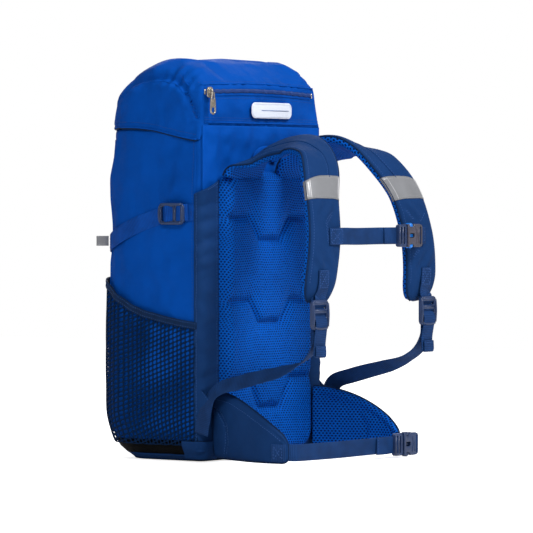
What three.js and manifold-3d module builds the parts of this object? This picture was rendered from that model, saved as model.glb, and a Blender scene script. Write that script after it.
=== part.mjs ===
// A junior hiking daypack: a soft bag with a hinged hood, a padded back, a shoulder harness and a hip belt.
// Millimetres, +Z up. X is the pack's width, -Y the wearer's side, and Z = 0 the underside of the base.
import * as THREE from "three";
import { mergeVertices } from "three/addons/utils/BufferGeometryUtils.js";
import Module from "manifold-3d";

const wasm = await Module();
wasm.setup();

// ---- driving dimensions ----
const HALF_WIDTH = 122;
const BACK_Y = -82;
const BAG_TOP = 398;
const PACK_TOP = 483;
const FABRIC = 3;
const GAP = 0.5;
const BACK_RADIUS = 16;
const FRONT_RADIUS = 58;
const BASE_THICKNESS = 2.7;
const WEBBING = 20;
const WEBBING_THICKNESS = 1.5;
const STRAP_WIDTH = 60;
const PAD_THICKNESS = 9;
const LINING_THICKNESS = 3;
const PANEL = { halfWidth: 86, bottom: 10, top: 330, thickness: 15, radius: 22 };
const STRIP = { inner: 91, outer: 106, bottom: 28, top: 325 };
const LID_SEAM = 401;
const ZIP_Z = 439;
const STRAP_START = { y: -95, z: 337 };
const SHOULDER_PATH = [
  [-40, STRAP_START.y, STRAP_START.z],
  [-40, -99, 353],
  [-42, -116, 369],
  [-44, -146, 379],
  [-48, -178, 379],
  [-62, -206, 359],
  [-86, -227, 322],
  [-97, -239, 272],
  [-104, -239, 225],
  [-107, -232, 191],
];
const STERNUM = { z: 269, y: -249.6, left: -84, right: 48 };
const LOCK = { x: -113, y: -247, z: 178, width: 33, height: 35, depth: 6 };
const WING_PATH = [[-99, -89], [-107, -115], [-120, -150], [-121, -180], [-116, -205]];
const BELT = { z: 16, y: -211.3, left: -114, right: 98 };
const LID = { back: -84, wall: 2.5, hemBack: 374, hemSlope: 0.22 };

// ---- colours ----
const COLOUR = {
  bright: 0x0a4fb8,
  navy: 0x1b3568,
  mesh: 0x0b4ab4,
  black: 0x15161a,
  silver: 0xa8abb0,
  label: 0xdfe6f2,
  metal: 0xb0a79c,
  grey: 0x4a4a5a,
};

function material(colour, roughness = 0.8, metalness = 0) {
  return new THREE.MeshStandardMaterial({ color: COLOUR[colour], roughness, metalness });
}

const pack = new THREE.Group();

function piece(name, geometry, colour, roughness, metalness) {
  const mesh = new THREE.Mesh(geometry, material(colour, roughness, metalness));
  mesh.name = name;
  pack.add(mesh);
  return mesh;
}

// ---- solids from meshes ----
function toSolid(geometry) {
  const bare = geometry.index ? geometry.toNonIndexed() : geometry.clone();
  for (const name of Object.keys(bare.attributes)) {
    if (name !== "position") bare.deleteAttribute(name);
  }
  const merged = mergeVertices(bare, 1e-3);
  const vertProperties = merged.attributes.position.array;
  const triVerts = new Uint32Array(merged.index.array);
  return new wasm.Manifold(new wasm.Mesh({ numProp: 3, vertProperties, triVerts }));
}

function toGeometry(solid) {
  const mesh = solid.getMesh();
  const geometry = new THREE.BufferGeometry();
  geometry.setAttribute("position", new THREE.BufferAttribute(new Float32Array(mesh.vertProperties), 3));
  geometry.setIndex(new THREE.BufferAttribute(new Uint32Array(mesh.triVerts), 1));
  return geometry;
}

function cut(geometry, ...tools) {
  return toGeometry(tools.reduce((solid, tool) => solid.subtract(toSolid(tool)), toSolid(geometry)));
}

function join(geometry, ...others) {
  return toGeometry(others.reduce((solid, other) => solid.add(toSolid(other)), toSolid(geometry)));
}

function box(low, high) {
  const size = high.map((value, axis) => value - low[axis]);
  const centre = high.map((value, axis) => (value + low[axis]) / 2);
  return new THREE.BoxGeometry(...size).translate(...centre);
}

// ---- surfaces from points ----
function meshFrom(points, faces) {
  const geometry = new THREE.BufferGeometry();
  geometry.setAttribute("position", new THREE.Float32BufferAttribute(points.flat(), 3));
  geometry.setIndex(faces.flat());
  return outward(geometry);
}

// Turns a closed mesh round if its faces point inwards.
function outward(geometry) {
  const p = geometry.attributes.position;
  const index = geometry.index.array;
  const [a, b, c] = [new THREE.Vector3(), new THREE.Vector3(), new THREE.Vector3()];
  let volume = 0;
  for (let i = 0; i < index.length; i += 3) {
    a.fromBufferAttribute(p, index[i]);
    b.fromBufferAttribute(p, index[i + 1]);
    c.fromBufferAttribute(p, index[i + 2]);
    volume += a.dot(b.cross(c));
  }
  if (volume < 0) {
    for (let i = 0; i < index.length; i += 3) [index[i + 1], index[i + 2]] = [index[i + 2], index[i + 1]];
  }
  return geometry;
}

// A solid skinned over closed rings of equal length, capped flat at both ends.
function loft(rings) {
  const count = rings[0].length;
  const points = rings.flat();
  const faces = [];
  for (let i = 0; i + 1 < rings.length; i += 1) {
    for (let j = 0; j < count; j += 1) {
      const a = i * count + j;
      const b = i * count + ((j + 1) % count);
      faces.push([a, b, b + count], [a, b + count, a + count]);
    }
  }
  for (const [first, turn] of [[0, 1], [(rings.length - 1) * count, -1]]) {
    const ring = points.slice(first, first + count);
    const centre = [0, 1, 2].map((axis) => ring.reduce((sum, p) => sum + p[axis], 0) / count);
    points.push(centre);
    for (let j = 0; j < count; j += 1) {
      const pair = [first + j, first + ((j + 1) % count)];
      faces.push(turn > 0 ? [points.length - 1, pair[1], pair[0]] : [points.length - 1, ...pair]);
    }
  }
  return meshFrom(points, faces);
}

// A closed sheet between a grid of points and the same grid moved by the thickness along its own normal.
function sheet(grid, thickness) {
  const rows = grid.length;
  const columns = grid[0].length;
  const inside = (index, count) => Math.min(Math.max(index, 0), count - 1);
  const at = (i, j) => new THREE.Vector3(...grid[inside(i, rows)][inside(j, columns)]);
  const front = grid.flat();
  const back = [];
  for (let i = 0; i < rows; i += 1) {
    for (let j = 0; j < columns; j += 1) {
      const along = at(i + 1, j).sub(at(i - 1, j));
      const across = at(i, j + 1).sub(at(i, j - 1));
      const normal = along.cross(across).normalize();
      back.push(at(i, j).addScaledVector(normal, thickness).toArray());
    }
  }
  const faces = [];
  const total = rows * columns;
  const quad = (a, b, c, d) => faces.push([a, b, c], [a, c, d]);
  for (let i = 0; i + 1 < rows; i += 1) {
    for (let j = 0; j + 1 < columns; j += 1) {
      const a = i * columns + j;
      quad(a, a + columns, a + columns + 1, a + 1);
      quad(total + a, total + a + 1, total + a + columns + 1, total + a + columns);
    }
  }
  for (let i = 0; i + 1 < rows; i += 1) {
    const left = i * columns;
    const right = left + columns - 1;
    quad(left, total + left, total + left + columns, left + columns);
    quad(right, right + columns, total + right + columns, total + right);
  }
  for (let j = 0; j + 1 < columns; j += 1) {
    const last = (rows - 1) * columns + j;
    quad(j, j + 1, total + j + 1, total + j);
    quad(last, total + last, total + last + 1, last + 1);
  }
  return meshFrom([...front, ...back], faces);
}

// A flat plate in the XZ plane, from y to y - thickness.
function plate(shape, y, thickness, curveSegments = 6) {
  const geometry = new THREE.ExtrudeGeometry(shape, { depth: thickness, bevelEnabled: false, curveSegments });
  return geometry.rotateX(Math.PI / 2).translate(0, y, 0);
}

function roundedRectangle(x0, z0, x1, z1, r) {
  const shape = new THREE.Shape();
  shape.moveTo(x0 + r, z0);
  shape.lineTo(x1 - r, z0).absarc(x1 - r, z0 + r, r, -Math.PI / 2, 0);
  shape.lineTo(x1, z1 - r).absarc(x1 - r, z1 - r, r, 0, Math.PI / 2);
  shape.lineTo(x0 + r, z1).absarc(x0 + r, z1 - r, r, Math.PI / 2, Math.PI);
  shape.lineTo(x0, z0 + r).absarc(x0 + r, z0 + r, r, Math.PI, 1.5 * Math.PI);
  return shape;
}

// The mirror image of a closed mesh across the pack's centre plane.
function mirrored(geometry) {
  return toGeometry(toSolid(geometry).mirror([1, 0, 0]));
}

// Adds a left-hand piece and its mirror image on the right.
function pair(name, geometry, colour, roughness, metalness) {
  piece(`left_${name}`, geometry, colour, roughness, metalness);
  piece(`right_${name}`, mirrored(geometry), colour, roughness, metalness);
}

// Smooth interpolation through [position, value] stations.
function profile(stations) {
  return (z) => {
    if (z <= stations[0][0]) return stations[0][1];
    for (let i = 1; i < stations.length; i += 1) {
      const [z1, v1] = stations[i];
      const [z0, v0] = stations[i - 1];
      if (z <= z1) return v0 + ((v1 - v0) * (z - z0)) / (z1 - z0);
    }
    return stations.at(-1)[1];
  };
}

// ---- the bag's own shape ----
const bagHalfWidth = profile([[3, 108], [10, 117], [24, HALF_WIDTH], [330, HALF_WIDTH], [BAG_TOP, 119]]);
const bagBack = profile([[3, -72], [10, -79], [24, BACK_Y], [BAG_TOP, BACK_Y]]);
const bagFront = profile([[3, 50], [10, 62], [24, 74], [60, 84], [320, 84], [BAG_TOP, 72]]);
const CORNER_STEPS = 6;
const SIDE_STEPS = 3;

// A rounded rectangle as [x, y] points, anticlockwise from the middle of the front edge's right end.
function section(halfWidth, backY, frontY, backRadius, frontRadius) {
  const corners = [
    [halfWidth - frontRadius, frontY - frontRadius, frontRadius, 0],
    [-halfWidth + frontRadius, frontY - frontRadius, frontRadius, Math.PI / 2],
    [-halfWidth + backRadius, backY + backRadius, backRadius, Math.PI],
    [halfWidth - backRadius, backY + backRadius, backRadius, 1.5 * Math.PI],
  ];
  const points = [];
  corners.forEach(([cx, cy, r, from], index) => {
    for (let i = 0; i <= CORNER_STEPS; i += 1) {
      const angle = from + (i / CORNER_STEPS) * (Math.PI / 2);
      points.push([cx + r * Math.cos(angle), cy + r * Math.sin(angle)]);
    }
    const next = corners[(index + 1) % 4];
    const start = points.at(-1);
    const end = [next[0] + next[2] * Math.cos(next[3]), next[1] + next[2] * Math.sin(next[3])];
    for (let i = 1; i < SIDE_STEPS; i += 1) {
      const t = i / SIDE_STEPS;
      points.push([start[0] + (end[0] - start[0]) * t, start[1] + (end[1] - start[1]) * t]);
    }
  });
  return points;
}

function bagRing(z, offset = 0) {
  return section(
    bagHalfWidth(z) + offset,
    bagBack(z) - offset,
    bagFront(z) + offset,
    Math.max(BACK_RADIUS + offset, 6),
    Math.min(FRONT_RADIUS, bagFront(z) - 10) + offset,
  ).map(([x, y]) => [x, y, z]);
}

function makeBag() {
  const levels = [3, 10, 24, 60, 120, 200, 320, BAG_TOP];
  const outer = loft(levels.map((z) => bagRing(z)));
  const inner = loft([6.5, 14, 28, 60, 120, 200, 320, BAG_TOP + 5].map((z) => bagRing(z, -FABRIC)));
  piece("main_bag", cut(outer, inner), "bright", 0.75);
}

// The base is the flat, stiffened panel that the pack stands on.
function makeBase() {
  const outline = section(106, -70, 48, 14, 40).map(([x, y]) => new THREE.Vector2(x, y));
  const flat = { depth: BASE_THICKNESS, bevelEnabled: false };
  const geometry = new THREE.ExtrudeGeometry(new THREE.Shape(outline), flat);
  piece("base_panel", geometry, "black", 0.9);
}

// A stiff sheet and a foam pad stand inside the bag against its back wall, and carry the load to the belt.
function makeFrame() {
  const sheetY = BACK_Y + FABRIC + GAP + 2;
  piece("frame_sheet", plate(roundedRectangle(-85, 34, 85, 372, 20), sheetY, 2), "black", 0.6);
  piece("foam_back_pad", plate(roundedRectangle(-82, 38, 82, 368, 20), sheetY + 4 + GAP, 4), "grey", 0.9);
}

// The padded mesh panel against the wearer's back.
function makeBackPanel() {
  const p = PANEL;
  const shape = roundedRectangle(-p.halfWidth, p.bottom, p.halfWidth, p.top, p.radius);
  const geometry = new THREE.ExtrudeGeometry(shape, {
    depth: p.thickness - 5,
    bevelEnabled: true,
    bevelThickness: 2.5,
    bevelSize: 2.5,
    bevelSegments: 1,
    curveSegments: 5,
  });
  geometry.rotateX(Math.PI / 2).translate(0, BACK_Y - GAP - 2.5, 0);
  piece("back_panel", geometry, "mesh", 0.95);
  const flat = new THREE.Shape([
    new THREE.Vector2(-STRIP.outer, STRIP.bottom),
    new THREE.Vector2(-STRIP.inner, STRIP.bottom),
    new THREE.Vector2(-STRIP.inner, STRIP.top + 9),
    new THREE.Vector2(-STRIP.outer, STRIP.top),
  ]);
  pair("side_strip", plate(flat, BACK_Y - GAP, 1.5), "navy", 0.85);
}

// ---- mesh side pockets ----
const POCKET = { bottom: 25, low: 60, back: 151, front: 199, bulge: 6, thickness: 1.2, binding: 10 };

function makePockets() {
  const clear = GAP + 0.6;
  const columns = [];
  const first = CORNER_STEPS + 1 + SIDE_STEPS - 1 + 2;
  const last = first + CORNER_STEPS - 2 + SIDE_STEPS;
  for (let index = first; index <= last; index += 1) {
    const y = bagRing(150)[index][1];
    const top = THREE.MathUtils.mapLinear(y, BACK_Y, bagFront(200), POCKET.back, POCKET.front);
    const climb = [0.25, 0.5, 0.75, 1].map((v) => POCKET.low + v * (top - POCKET.low));
    const heights = [POCKET.bottom, POCKET.low, ...climb];
    const u = (index - first) / (last - first);
    columns.push(heights.map((z) => {
      const [x, yAt] = bagRing(z, clear)[index];
      const v = (z - POCKET.bottom) / (top - POCKET.bottom);
      const puff = POCKET.bulge * Math.sin(Math.PI * u) * Math.sin(Math.PI * (0.08 + 0.72 * v));
      return [x - puff, yAt + puff * 0.3 * (1 - u), z];
    }));
  }
  pair("pocket", sheet(columns, POCKET.thickness), "navy", 0.9);
  const binding = columns.map((column) => {
    const [x, y, z] = column.at(-1);
    return [[x, y, z + 0.4], [x, y, z + POCKET.binding]];
  });
  pair("pocket_binding", sheet(binding, 1.8), "navy", 0.85);
}

// ---- webbing, straps and pads ----

// A flat band along a path of points. across(t) is the width's direction, halfWidth(t) its half, and the
// band lies between the heights low and high on its face normal, which is tangent x across.
function band(path, { from = 0, to = 1, steps = 20, halfWidth, low, high, edge = 0, across = [1, 0, 0] }) {
  const curve = new THREE.CatmullRomCurve3(path.map((p) => new THREE.Vector3(...p)));
  const rings = [];
  for (let i = 0; i <= steps; i += 1) {
    const t = from + ((to - from) * i) / steps;
    const centre = curve.getPointAt(t);
    const tangent = curve.getTangentAt(t);
    const wide = new THREE.Vector3(...across);
    wide.addScaledVector(tangent, -wide.dot(tangent)).normalize();
    const normal = tangent.clone().cross(wide);
    const half = typeof halfWidth === "function" ? halfWidth(t) : halfWidth;
    const corners = edge
      ? [
          [-half + edge, low], [half - edge, low], [half, low + edge], [half, high - edge],
          [half - edge, high], [-half + edge, high], [-half, high - edge], [-half, low + edge],
        ]
      : [[-half, low], [half, low], [half, high], [-half, high]];
    const corner = ([w, n]) => centre.clone().addScaledVector(wide, w).addScaledVector(normal, n).toArray();
    rings.push(corners.map(corner));
  }
  return loft(rings);
}

// The curve parameter at which the shoulder path passes height z on its way down the chest.
function shoulderAt(z) {
  const curve = new THREE.CatmullRomCurve3(SHOULDER_PATH.map((p) => new THREE.Vector3(...p)));
  let t = 1;
  while (t > 0 && curve.getPointAt(t).z < z) t -= 0.002;
  return t;
}

function shoulderHalfWidth(t) {
  const roundFrom = 0.9;
  const full = STRAP_WIDTH / 2;
  if (t < roundFrom) return full;
  const u = (t - roundFrom) / (1 - roundFrom);
  return Math.max(full * Math.sqrt(1 - u * u), 10);
}

function makeShoulderStraps() {
  const pad = { steps: 36, halfWidth: shoulderHalfWidth };
  const cover = band(SHOULDER_PATH, { ...pad, low: 0.9, high: PAD_THICKNESS, edge: 2.5 });
  pair("shoulder_pad", cover, "navy", 0.85);
  pair("shoulder_lining", band(SHOULDER_PATH, { ...pad, low: -LINING_THICKNESS, high: -0.9 }), "mesh", 0.95);
  const on = { low: PAD_THICKNESS + 0.9, high: PAD_THICKNESS + 0.9 + WEBBING_THICKNESS };
  const reflector = { from: shoulderAt(336), to: shoulderAt(311), steps: 3, halfWidth: 29, ...on };
  pair("strap_reflector", band(SHOULDER_PATH, reflector), "silver", 0.35);
  const tab = { from: shoulderAt(228), to: shoulderAt(200), steps: 3, halfWidth: WEBBING / 2, ...on };
  pair("strap_end_tab", band(SHOULDER_PATH, tab), "navy", 0.85);
}

// A ladder lock: a frame with three slots round two bars, lying in the XZ plane about the origin.
function ladderLock(width, height, depth) {
  const inner = width / 2 - 3.5;
  const outline = roundedRectangle(-width / 2, -height / 2, width / 2, height / 2, 4);
  const frame = new THREE.ExtrudeGeometry(outline, {
    depth,
    bevelEnabled: false,
    curveSegments: 4,
  });
  frame.rotateX(Math.PI / 2).translate(0, depth / 2, 0);
  const slot = (low, high) => box([-inner, -depth, low], [inner, depth, high]);
  const pitch = (height - 6) / 3;
  const first = -height / 2 + 5;
  return cut(frame, ...[0, 1, 2].map((i) => slot(first + i * pitch, first + i * pitch + pitch - 3.5)));
}

function makeAdjusters() {
  const lock = ladderLock(LOCK.width, LOCK.height, LOCK.depth);
  pair("ladder_lock", lock.translate(LOCK.x, LOCK.y, LOCK.z), "navy", 0.5);
  const tailTop = LOCK.z - LOCK.height / 2 - 1;
  const tailHalf = WEBBING / 2;
  const tail = box([LOCK.x - tailHalf, LOCK.y - 2, tailTop - 32], [LOCK.x + tailHalf, LOCK.y + 1, tailTop]);
  pair("webbing_tail", tail, "navy", 0.85);
  const run = [[-118, -98, 85], [-116, -128, 92], [-114, -168, 99], [-113, -198, 107], [-113, -212, 117]];
  const webbing = band(run, { steps: 12, halfWidth: WEBBING / 2, low: 0, high: WEBBING_THICKNESS });
  pair("adjust_webbing", webbing, "navy", 0.85);
  const corner = new THREE.Shape([[-80, 88], [-80, 40], [-97, 70]].map((p) => new THREE.Vector2(...p)));
  const gusset = new THREE.ExtrudeGeometry(corner, { depth: WEBBING_THICKNESS, bevelEnabled: false });
  gusset.applyMatrix4(new THREE.Matrix4().makeBasis(
    new THREE.Vector3(0, 1, 0), new THREE.Vector3(0, 0, 1), new THREE.Vector3(1, 0, 0)));
  pair("webbing_gusset", gusset.translate(-HALF_WIDTH - 2.4, 0, 0), "navy", 0.85);
}

// A side-release buckle: its male half is pushed in along +X, its face is towards -Y, and its middle is at
// the origin's height.
const BUCKLE = { length: 24, half: 14, depth: 5, bar: 6, base: 16 };

function buckleFemale() {
  const { length, half, depth, bar } = BUCKLE;
  const body = box([0, -depth, -half], [length + bar, depth, half]);
  const cavity = box([-1, -depth + 2, -half + 3], [length - 3, depth - 2, half - 3]);
  const window = box([9, -depth + 2, -half - 1], [16, depth - 2, half + 1]);
  const slot = box([length + 1, -depth - 1, -half + 3.5], [length + bar - 2.5, depth + 1, half - 3.5]);
  return cut(body, cavity, window, slot);
}

function buckleMale() {
  const { half, base } = BUCKLE;
  const frame = box([-base - 0.6, -4, -half + 0.5], [-0.6, 4, half - 0.5]);
  const guide = box([-1.6, -2.2, -2.2], [17, 2.2, 2.2]);
  const arm = (z) => box([-1.6, -2.2, z - 2], [15, 2.2, z + 2]);
  const slot = (x) => box([x, -5, -half + 3.5], [x + 3.2, 5, half - 3.5]);
  return cut(join(frame, guide, arm(-8), arm(8)), slot(-14), slot(-7.5));
}

function makeSternumStrap() {
  const { z, y, left, right } = STERNUM;
  const half = WEBBING / 2;
  piece("sternum_webbing", box([left, y - WEBBING_THICKNESS, z - half], [right, y, z + half]), "navy", 0.85);
  const buckleY = y - WEBBING_THICKNESS - 1.2 - BUCKLE.depth;
  piece("sternum_buckle_male", buckleMale().translate(right + 2, buckleY, z), "bright", 0.45);
  piece("sternum_buckle_female", buckleFemale().translate(right + 2, buckleY, z), "grey", 0.45);
  const anchorFrom = right + 2 + BUCKLE.length - 2;
  const anchor = box([anchorFrom, y - WEBBING_THICKNESS, z - half], [anchorFrom + 24, y, z + half]);
  piece("sternum_anchor", anchor, "navy", 0.85);
}

// ---- hip belt ----
function makeHipBelt() {
  const root = { top: 80, bottom: 5 };
  const tip = { top: 29, bottom: 4 };
  const curve = new THREE.CatmullRomCurve3(WING_PATH.map(([x, y]) => new THREE.Vector3(x, y, 0)));
  const steps = 14;
  const thickness = 6;
  const rings = [];
  for (let i = 0; i <= steps; i += 1) {
    const t = i / steps;
    const centre = curve.getPointAt(t);
    const tangent = curve.getTangentAt(t);
    const side = new THREE.Vector3(tangent.y, -tangent.x, 0);
    const top = tip.top + (root.top - tip.top) * Math.cos((t * Math.PI) / 2) ** 0.8;
    const bottom = THREE.MathUtils.lerp(root.bottom, tip.bottom, t);
    const half = THREE.MathUtils.lerp(thickness, 3.5, t ** 3);
    const corners = [
      [-half, bottom + 4], [-half + 3, bottom], [half - 3, bottom], [half, bottom + 4],
      [half, top - 4], [half - 3, top], [-half + 3, top], [-half, top - 4],
    ];
    rings.push(corners.map(([n, z]) => [centre.x + side.x * n, centre.y + side.y * n, z]));
  }
  pair("hip_wing", loft(rings), "navy", 0.85);
  const half = WEBBING / 2;
  const low = BELT.z - half;
  const front = BELT.y - WEBBING_THICKNESS;
  piece("hip_webbing", box([BELT.left, front, low], [BELT.right, BELT.y, low + WEBBING]), "navy", 0.85);
  const buckleY = front - 0.8 - BUCKLE.depth;
  piece("hip_buckle_male", buckleMale().translate(BELT.right + 1, buckleY, BELT.z), "navy", 0.5);
  piece("hip_buckle_female", buckleFemale().translate(BELT.right + 1, buckleY, BELT.z), "navy", 0.5);
}

// ---- side compression straps ----
function makeCompressionStraps() {
  const first = CORNER_STEPS + 4 + 1;
  const centreZ = profile([[BACK_Y, 297], [-40, 295], [0, 286], [60, 263], [80, 257]]);
  const ring = bagRing(280, GAP);
  const last = ring.findIndex(([, y], i) => i > first + 2 && y < BACK_Y + BACK_RADIUS);
  const rows = ring.slice(first, last + 1);
  const grid = rows.map(([x, y]) => [[x, y, centreZ(y) - WEBBING / 2], [x, y, centreZ(y) + WEBBING / 2]]);
  pair("compression_strap", sheet(grid, WEBBING_THICKNESS), "bright", 0.8);
  const lock = ladderLock(26, 38, 5).rotateZ(-Math.PI / 2).rotateX(Math.PI / 2);
  const lockX = -HALF_WIDTH - GAP - WEBBING_THICKNESS - 3.4;
  pair("compression_lock", lock.translate(lockX, -42, 295), "navy", 0.5);
  const tab = box([-1, 0, -6], [1, 10, 6]).rotateZ(Math.PI * 0.2).translate(-101, 77.5, 262);
  pair("reflective_loop", tab, "silver", 0.4);
}

// ---- the hood ----
const lidHalfWidth = profile([[360, 125], [440, 125], [455, 119], [465, 111], [475, 96], [PACK_TOP, 62]]);
const lidBack = profile([[360, -84], [450, -84], [465, -79], [475, -71], [PACK_TOP, -52]]);
const lidFront = profile([
  [360, 88], [385, 82], [401, 77], [430, 66],
  [445, 52], [460, 30], [475, 8], [PACK_TOP, -16],
]);

function lidRing(z, inset = 0) {
  const half = lidHalfWidth(z) - inset;
  const back = lidBack(z) + inset;
  const front = lidFront(z) - inset;
  const limit = Math.min(half, (front - back) / 2) - 1;
  const frontRadius = Math.min(60, limit);
  const backRadius = Math.min(16 + Math.max(0, z - 450), limit);
  return section(half, back, front, backRadius, frontRadius).map(([x, y]) => [x, y, z]);
}

function makeLid() {
  const levels = [366, 401, 430, 445, 455, 465, 475, PACK_TOP];
  const outer = loft(levels.map((z) => lidRing(z)));
  const hollow = [350, 401, 430, 445, 455, 465, 475, PACK_TOP - LID.wall];
  const inner = loft(hollow.map((z) => lidRing(z, LID.wall)));
  const belowSeam = box([-200, -120, 340], [200, BACK_Y + BACK_RADIUS, LID_SEAM + 0.5]);
  const slope = Math.atan(LID.hemSlope);
  const belowHem = box([-200, -300, -100], [200, 300, 0]).rotateX(slope).translate(0, -75, LID.hemBack);
  piece("lid", cut(outer, inner, belowSeam, belowHem), "bright", 0.75);
  const floorRing = lidRing(444, LID.wall + 1).map(([x, y]) => new THREE.Vector2(x, y));
  const floor = new THREE.ExtrudeGeometry(new THREE.Shape(floorRing), { depth: 1, bevelEnabled: false });
  piece("lid_pocket_floor", floor.translate(0, 0, 437), "bright", 0.8);
  const face = LID.back - GAP;
  const tape = roundedRectangle(-108, ZIP_Z - 4, 106, ZIP_Z + 4, 1);
  piece("lid_zip_tape", plate(tape, face, 1.2, 2), "bright", 0.6);
  const slider = plate(roundedRectangle(-110, ZIP_Z - 6, -101, ZIP_Z + 6, 3), face - 1.6, 4, 3);
  piece("zip_slider", slider, "metal", 0.3, 0.9);
  const puller = plate(roundedRectangle(-109.5, ZIP_Z - 26, -101.5, ZIP_Z, 3.5), face - 6.4, 2, 3);
  const eye = box([-107.5, -200, ZIP_Z - 23], [-103.5, 0, ZIP_Z - 17]);
  piece("zip_puller", cut(puller, eye), "metal", 0.3, 0.9);
  piece("name_label", plate(roundedRectangle(-25, 410, 57, 429, 6), face, 1, 4), "label", 0.4);
  const strapY = lidFront(LID_SEAM) + 2.4;
  const strap = band(
    [[0, 60, 441], [0, 71, 428], [0, strapY, 405], [0, strapY + 4, 385], [0, strapY + 5, 370]],
    { steps: 10, halfWidth: WEBBING / 2, low: 0, high: WEBBING_THICKNESS, across: [-1, 0, 0] },
  );
  piece("lid_strap", strap, "bright", 0.8);
  const down = (geometry) => geometry.rotateY(Math.PI / 2).translate(0, 96, 366);
  piece("lid_buckle_male", down(buckleMale()), "navy", 0.5);
  piece("lid_buckle_female", down(buckleFemale()), "navy", 0.5);
  const strapFront = 89;
  const half = WEBBING / 2;
  const frontStrap = box([-half, strapFront, 276], [half, strapFront + WEBBING_THICKNESS, 348]);
  piece("front_strap", frontStrap, "bright", 0.8);
  piece("front_loop", box([-16, 84.5, 250], [16, 86, 292]), "navy", 0.85);
}

// The gathered collar closes the bag under the hood with a drawcord and a sprung cord lock.
function makeCollar() {
  const shell = (extra) => [[380, -3.6], [400, -7], [414, -16], [425, -30]].map(([z, offset]) => {
    const bagZ = Math.min(z, BAG_TOP);
    return bagRing(bagZ, offset - extra).map(([x, y]) => [x, y, z]);
  });
  const hole = shell(1.5);
  const lift = (ring, z) => ring.map(([x, y]) => [x, y, z]);
  const inner = loft([lift(hole[0], 379), ...hole.slice(1, 3), lift(hole[3], 426)]);
  piece("collar", cut(loft(shell(0)), inner), "bright", 0.8);
  const loop = bagRing(BAG_TOP, -31).map(([x, y]) => new THREE.Vector3(x, y, 427.5));
  const curve = new THREE.CatmullRomCurve3(loop, false);
  const circle = new THREE.Shape().absarc(0, 0, 1.5, 0, 2 * Math.PI);
  const cord = new THREE.ExtrudeGeometry(circle, { extrudePath: curve, steps: 60, curveSegments: 4 });
  piece("drawcord", cord, "black", 0.8);
  const well = box([-3, 27.5, 427.9], [7, 35.5, 433.1]);
  piece("cord_lock", cut(box([-8, 26, 426.5], [4, 37, 434.5]), well), "black", 0.5);
  piece("cord_lock_button", box([0.6, 28, 428.4], [9, 35, 432.6]), "black", 0.5);
}

function makeYoke() {
  const outline = [
    [-106, 327], [-91, 336.5], [-60, 352], [60, 352],
    [91, 336.5], [106, 327], [106, 397], [-106, 397],
  ];
  const yoke = plate(new THREE.Shape(outline.map((p) => new THREE.Vector2(...p))), BACK_Y - GAP, 1);
  piece("yoke_panel", yoke, "bright", 0.75);
  const loop = [
    [-27, -85, 364], [-26, -87, 376], [-14, -88, 388],
    [14, -88, 388], [26, -87, 376], [27, -85, 364],
  ];
  const flat = band(loop, { steps: 16, halfWidth: 0.9, low: -6, high: 6, across: [0, 1, 0] });
  piece("haul_loop", flat, "navy", 0.85);
}

makeBag();
makeBase();
makeFrame();
makeBackPanel();
makePockets();
makeShoulderStraps();
makeAdjusters();
makeSternumStrap();
makeHipBelt();
makeCompressionStraps();
makeLid();
makeCollar();
makeYoke();

export default pack;
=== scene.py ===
"""A blue junior hiking daypack in sewn fabric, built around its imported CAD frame.

Lengths are metres, +Z up, X across the pack and -Y towards the wearer. Small sizes are written as a
number of millimetres times MM.
"""

import math
from contextlib import contextmanager

import bmesh
import bpy
import numpy as np
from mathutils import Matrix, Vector, noise
from mathutils.bvhtree import BVHTree


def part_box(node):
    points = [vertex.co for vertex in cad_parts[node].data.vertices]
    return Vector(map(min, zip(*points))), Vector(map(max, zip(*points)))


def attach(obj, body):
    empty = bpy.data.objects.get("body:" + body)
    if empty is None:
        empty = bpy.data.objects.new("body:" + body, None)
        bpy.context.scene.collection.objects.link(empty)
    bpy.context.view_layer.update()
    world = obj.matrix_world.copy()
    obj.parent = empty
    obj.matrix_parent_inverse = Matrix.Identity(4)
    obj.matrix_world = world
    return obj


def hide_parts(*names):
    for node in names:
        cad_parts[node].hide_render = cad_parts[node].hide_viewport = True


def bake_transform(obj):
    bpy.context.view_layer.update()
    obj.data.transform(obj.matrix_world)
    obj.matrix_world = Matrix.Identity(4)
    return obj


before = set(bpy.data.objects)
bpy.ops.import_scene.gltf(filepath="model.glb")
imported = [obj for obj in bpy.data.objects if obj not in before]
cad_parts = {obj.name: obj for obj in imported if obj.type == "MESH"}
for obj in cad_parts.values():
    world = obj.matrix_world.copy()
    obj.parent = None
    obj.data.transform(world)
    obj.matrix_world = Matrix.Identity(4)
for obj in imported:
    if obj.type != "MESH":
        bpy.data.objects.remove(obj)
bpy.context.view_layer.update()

MM = 0.001
LEFT, RIGHT = -1, 1
SIDE_NAME = {LEFT: "left", RIGHT: "right"}

# ---- driving dimensions, in millimetres ----
BACK_Y = -82
BAG_TOP = 398
WEBBING = 20
WEBBING_THICKNESS = 1.6
ZIP_Z = 439
LID_SEAM = 401
HOOD_SHOULDER, HOOD_TOP = 448, 483


# ======== numbers ========
def lerp(a, b, t):
    return a + (b - a) * t


def smooth(low, high, x):
    t = min(max((x - low) / (high - low), 0.0), 1.0)
    return t * t * (3 - 2 * t)


def bump(x, centre, width):
    return math.exp(-(((x - centre) / width) ** 2))


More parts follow.
